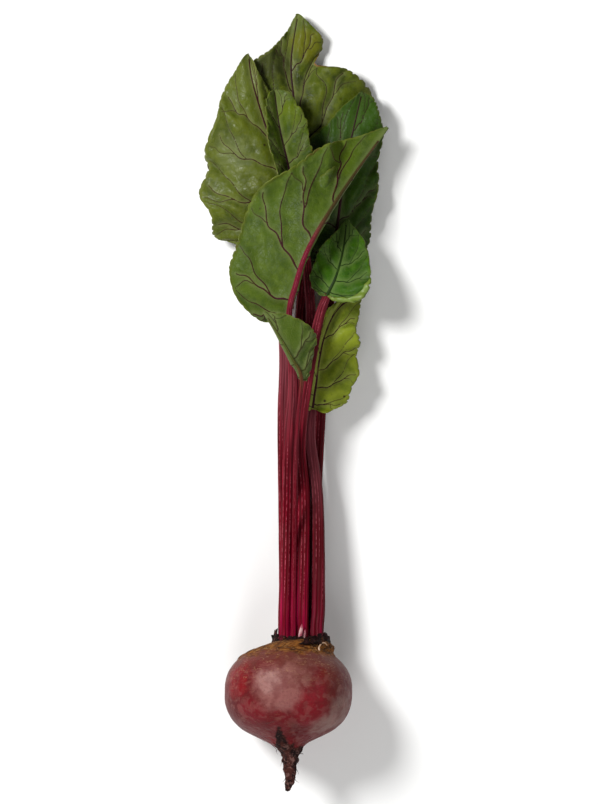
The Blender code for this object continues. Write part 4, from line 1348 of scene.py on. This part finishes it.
def root_material():
    """The root's skin: crimson with a grey bloom, tan cork at the shoulder, a brown rough taproot, a painted
    highlight on top and a painted reflection at the lower right.
    """
    shader = Shader("beet_skin", specular=0.12)
    middle = shader.noise(6.0, 5.0)
    grain = shader.noise(1.1, 4.0)
    fibre = shader.noise(0.8, 5.0)
    patch = shader.patches(3.4, 4.0, 0.42, 0.62)
    axial, corky, rooty = (shader.attribute(key) for key in ("axial", "cork", "tail"))
    # Places drawn out round the root, so that noise on them makes rings
    inputs = {"Vector": shader.places, "Scale": (0.35, 1.5, 0.35)}
    drawn = shader.node("ShaderNodeMapping", inputs).outputs[0]
    scratches = shader.times(shader.lines(1.7, 0.022, drawn), shader.patches(5.0, 3.0, 0.44, 0.56))
    shoulder = shader.step(shader.plus(axial, shader.times(middle, 12.0)), 12.0, 21.0)
    skin = shader.mix(shader.patches(24.0, 3.0, 0.36, 0.66), (0.084, 0.003, 0.005), (0.142, 0.007, 0.011))
    for point, inner, outer, tone, strength in SKIN_TONES_AND_HIGHLIGHTS:
        skin = shader.painted(skin, (tone, shader.near(point, inner, outer), strength))
    skin = shader.painted(
        skin,
        ((0.230, 0.085, 0.075), shader.patches(4.5, 6.0, 0.48, 0.62, distortion=0.5), 0.30),
        ((0.085, 0.009, 0.009), shader.step(middle, 0.46, 0.64), 0.38),
        ((0.040, 0.004, 0.006), shader.step(grain, 0.5, 0.75), 0.34),
        ((0.27, 0.12, 0.10), shader.step(shader.cells(2.6, "F1"), 0.12, 0.05), 0.25),
        ((0.095, 0.024, 0.014), shoulder, 0.65),
        ((0.29, 0.15, 0.08), scratches, shader.scaled(shader.step(axial, -6.0, 14.0), 0.14, 0.65)),
        ((0.21, 0.075, 0.055), shader.attribute("scar"), 0.3),
    )
    cork = shader.painted(
        shader.mix(patch, (0.075, 0.020, 0.002), (0.185, 0.064, 0.009)),
        ((0.27, 0.115, 0.028), shader.lines(2.2, 0.05, drawn), 0.6),
        ((0.24, 0.10, 0.026), shader.step(fibre, 0.58, 0.74)),
        ((0.012, 0.004, 0.002), shader.attribute("crack"), 0.85),
        ((0.014, 0.005, 0.004), shader.step(shader.plus(axial, shader.times(middle, 5.0)), 27.0, 30.0)),
    )
    scale = shader.patches(2.2, 4.0, 0.52, 0.62, distortion=0.6)
    tail = shader.painted(
        shader.mix(patch, (0.008, 0.002, 0.002), (0.040, 0.010, 0.007)),
        ((0.105, 0.050, 0.042), scale, shader.step(axial, -27.0, -37.0)),
        ((0.19, 0.105, 0.085), shader.step(fibre, 0.60, 0.70), 0.45),
    )
    dish = (0.014, 0.004, 0.004), shader.attribute("dish")
    colour = shader.painted(skin, (cork, corky), (tail, rooty), dish)
    coarse = shader.plus(corky, rooty)
    inputs = {"Factor": coarse, "A": shader.scaled(middle, 0.36, 0.58), "B": 0.82}
    rough = shader.node("ShaderNodeMix", inputs, data_type="FLOAT").outputs[0]
    height = shader.plus(shader.times(grain, 0.5), shader.times(fibre, shader.plus(coarse, 0.15)))
    return shader.finish(colour, rough, height, 0.3)


def dead_material(name, dark, light):
    """Dry dead leaf base: dark, fibrous and dull."""
    shader = Shader(name, 0.8, 0.07)
    colour = shader.mix(shader.patches(1.6, 4.0, 0.4, 0.70), dark, light)
    colour = shader.painted(colour, (brighter(light, 2.0, 0.01), shader.patches(0.7, 3.0, 0.62, 0.74), 0.4))
    return shader.finish(colour, shader.scaled(shader.noise(1.0), 0.35, 0.85), shader.noise(0.45, 4.0), 0.3)


def plain_material(name, dark, light, size, roughness):
    """A lightly mottled surface for small pieces."""
    shader = Shader(name, roughness)
    colour = shader.mix(shader.patches(size, 3.0, 0.4, 0.66), dark, light)
    rough = shader.scaled(shader.noise(size), roughness - 0.08, roughness + 0.08)
    return shader.finish(colour, rough, shader.noise(size / 2), 0.05)


# The stage

FRAME_WIDTH, FRAME_HEIGHT = 600, 804
MM_PER_PIXEL = 0.551
BULB_PIXEL = (288, 690)
CAMERA_AWAY = 3200.0
CAMERA_LEVEL = 20.0
SENSOR = 36.0
FAR_CLIP = 20
FLOOR_HALF = 1600
FLOOR_SHIFT = 150
WORLD_LIGHT = 0.14
# What the lamps shine at, and each lamp's name, place from there in mm, width in mm and watts
AIM = Vector((6, 160, 0))
LAMPS = (
    ("key", (-620, 420, 900), 360, 16.5),
    ("fill", (720, -120, 780), 700, 3.0),
    ("front", (-80, -700, 620), 500, 2.6),
)


def stage():
    """The floor, the lights and the camera, which looks straight down as the photograph does."""
    scene = bpy.context.scene
    scene.view_settings.view_transform = "Standard"
    mesh = bpy.data.meshes.new("floor")
    corners = [(x * FLOOR_HALF * MM, (y * FLOOR_HALF + FLOOR_SHIFT) * MM, 0)
               for x, y in ((-1, -1), (1, -1), (1, 1), (-1, 1))]
    mesh.from_pydata(corners, [], [(0, 1, 2, 3)])
    paper = Shader("pale_floor", 0.8, 0.2)
    tone = paper.mix(paper.noise(40.0), (0.88, 0.88, 0.87), (0.91, 0.91, 0.90))
    mesh.materials.append(paper.finish(tone, 0.8))
    linked("floor", mesh)

    world = bpy.data.worlds.new("studio")
    world.use_nodes = True
    background = world.node_tree.nodes["Background"]
    background.inputs["Color"].default_value = (1.0, 1.0, 1.0, 1.0)
    background.inputs["Strength"].default_value = WORLD_LIGHT
    scene.world = world
    for name, spot, width, power in LAMPS:
        lamp = bpy.data.lights.new(name, "AREA")
        lamp.shape = "DISK"
        lamp.size = width * MM
        lamp.energy = power
        obj = linked(name, lamp)
        obj.location = (Vector(spot) + AIM) * MM
        obj.rotation_euler = (-Vector(spot)).to_track_quat("-Z", "Y").to_euler()

    camera = bpy.data.cameras.new("camera")
    camera.sensor_fit = "VERTICAL"
    camera.sensor_height = SENSOR
    camera.lens = SENSOR * CAMERA_AWAY / (FRAME_HEIGHT * MM_PER_PIXEL)
    camera.clip_end = FAR_CLIP
    eye = linked("camera", camera)
    across = (FRAME_WIDTH / 2 - BULB_PIXEL[0]) * MM_PER_PIXEL
    up = (BULB_PIXEL[1] - FRAME_HEIGHT / 2) * MM_PER_PIXEL
    eye.location = Vector((across, up, CAMERA_LEVEL + CAMERA_AWAY)) * MM
    scene.camera = eye


def place(piece, slot, *nodes):
    """Hands a finished piece to the frame: it rides on the root body and stands for these nodes."""
    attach(piece, "root")
    for node in nodes:
        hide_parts(node)


def main():
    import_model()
    stage()
    place(make_root(), "root_skin", "root")
    place(make_collar(), "root_skin")
    place(make_buds(), "stalk_red")
    place(make_rootlets(), "root_skin")

    heap = Heap()
    for leaf in LEAVES:
        route, ground = lay(leaf, heap)
        name, look = leaf.name, LOOKS[leaf.name]
        painted_sheen, torn, light_and_shade = PAINTED_SHEEN.get(name), TORN.get(name), LIGHT_AND_SHADE_PATCHES.get(name, ())
        materials = [
            leaf_material(f"{name}_face", look, False, painted_sheen, torn, light_and_shade),
            leaf_material(f"{name}_back", look, True, painted_sheen, None, light_and_shade),
            rim_material(f"{name}_rim", look),
            vein_material(f"{name}_vein", look),
        ]
        place(make_blade(route, ground, look, materials), "leaf_green", f"blade_{name}")
        place(make_stalk(route, look), "stalk_red", f"stalk_{name}")


main()
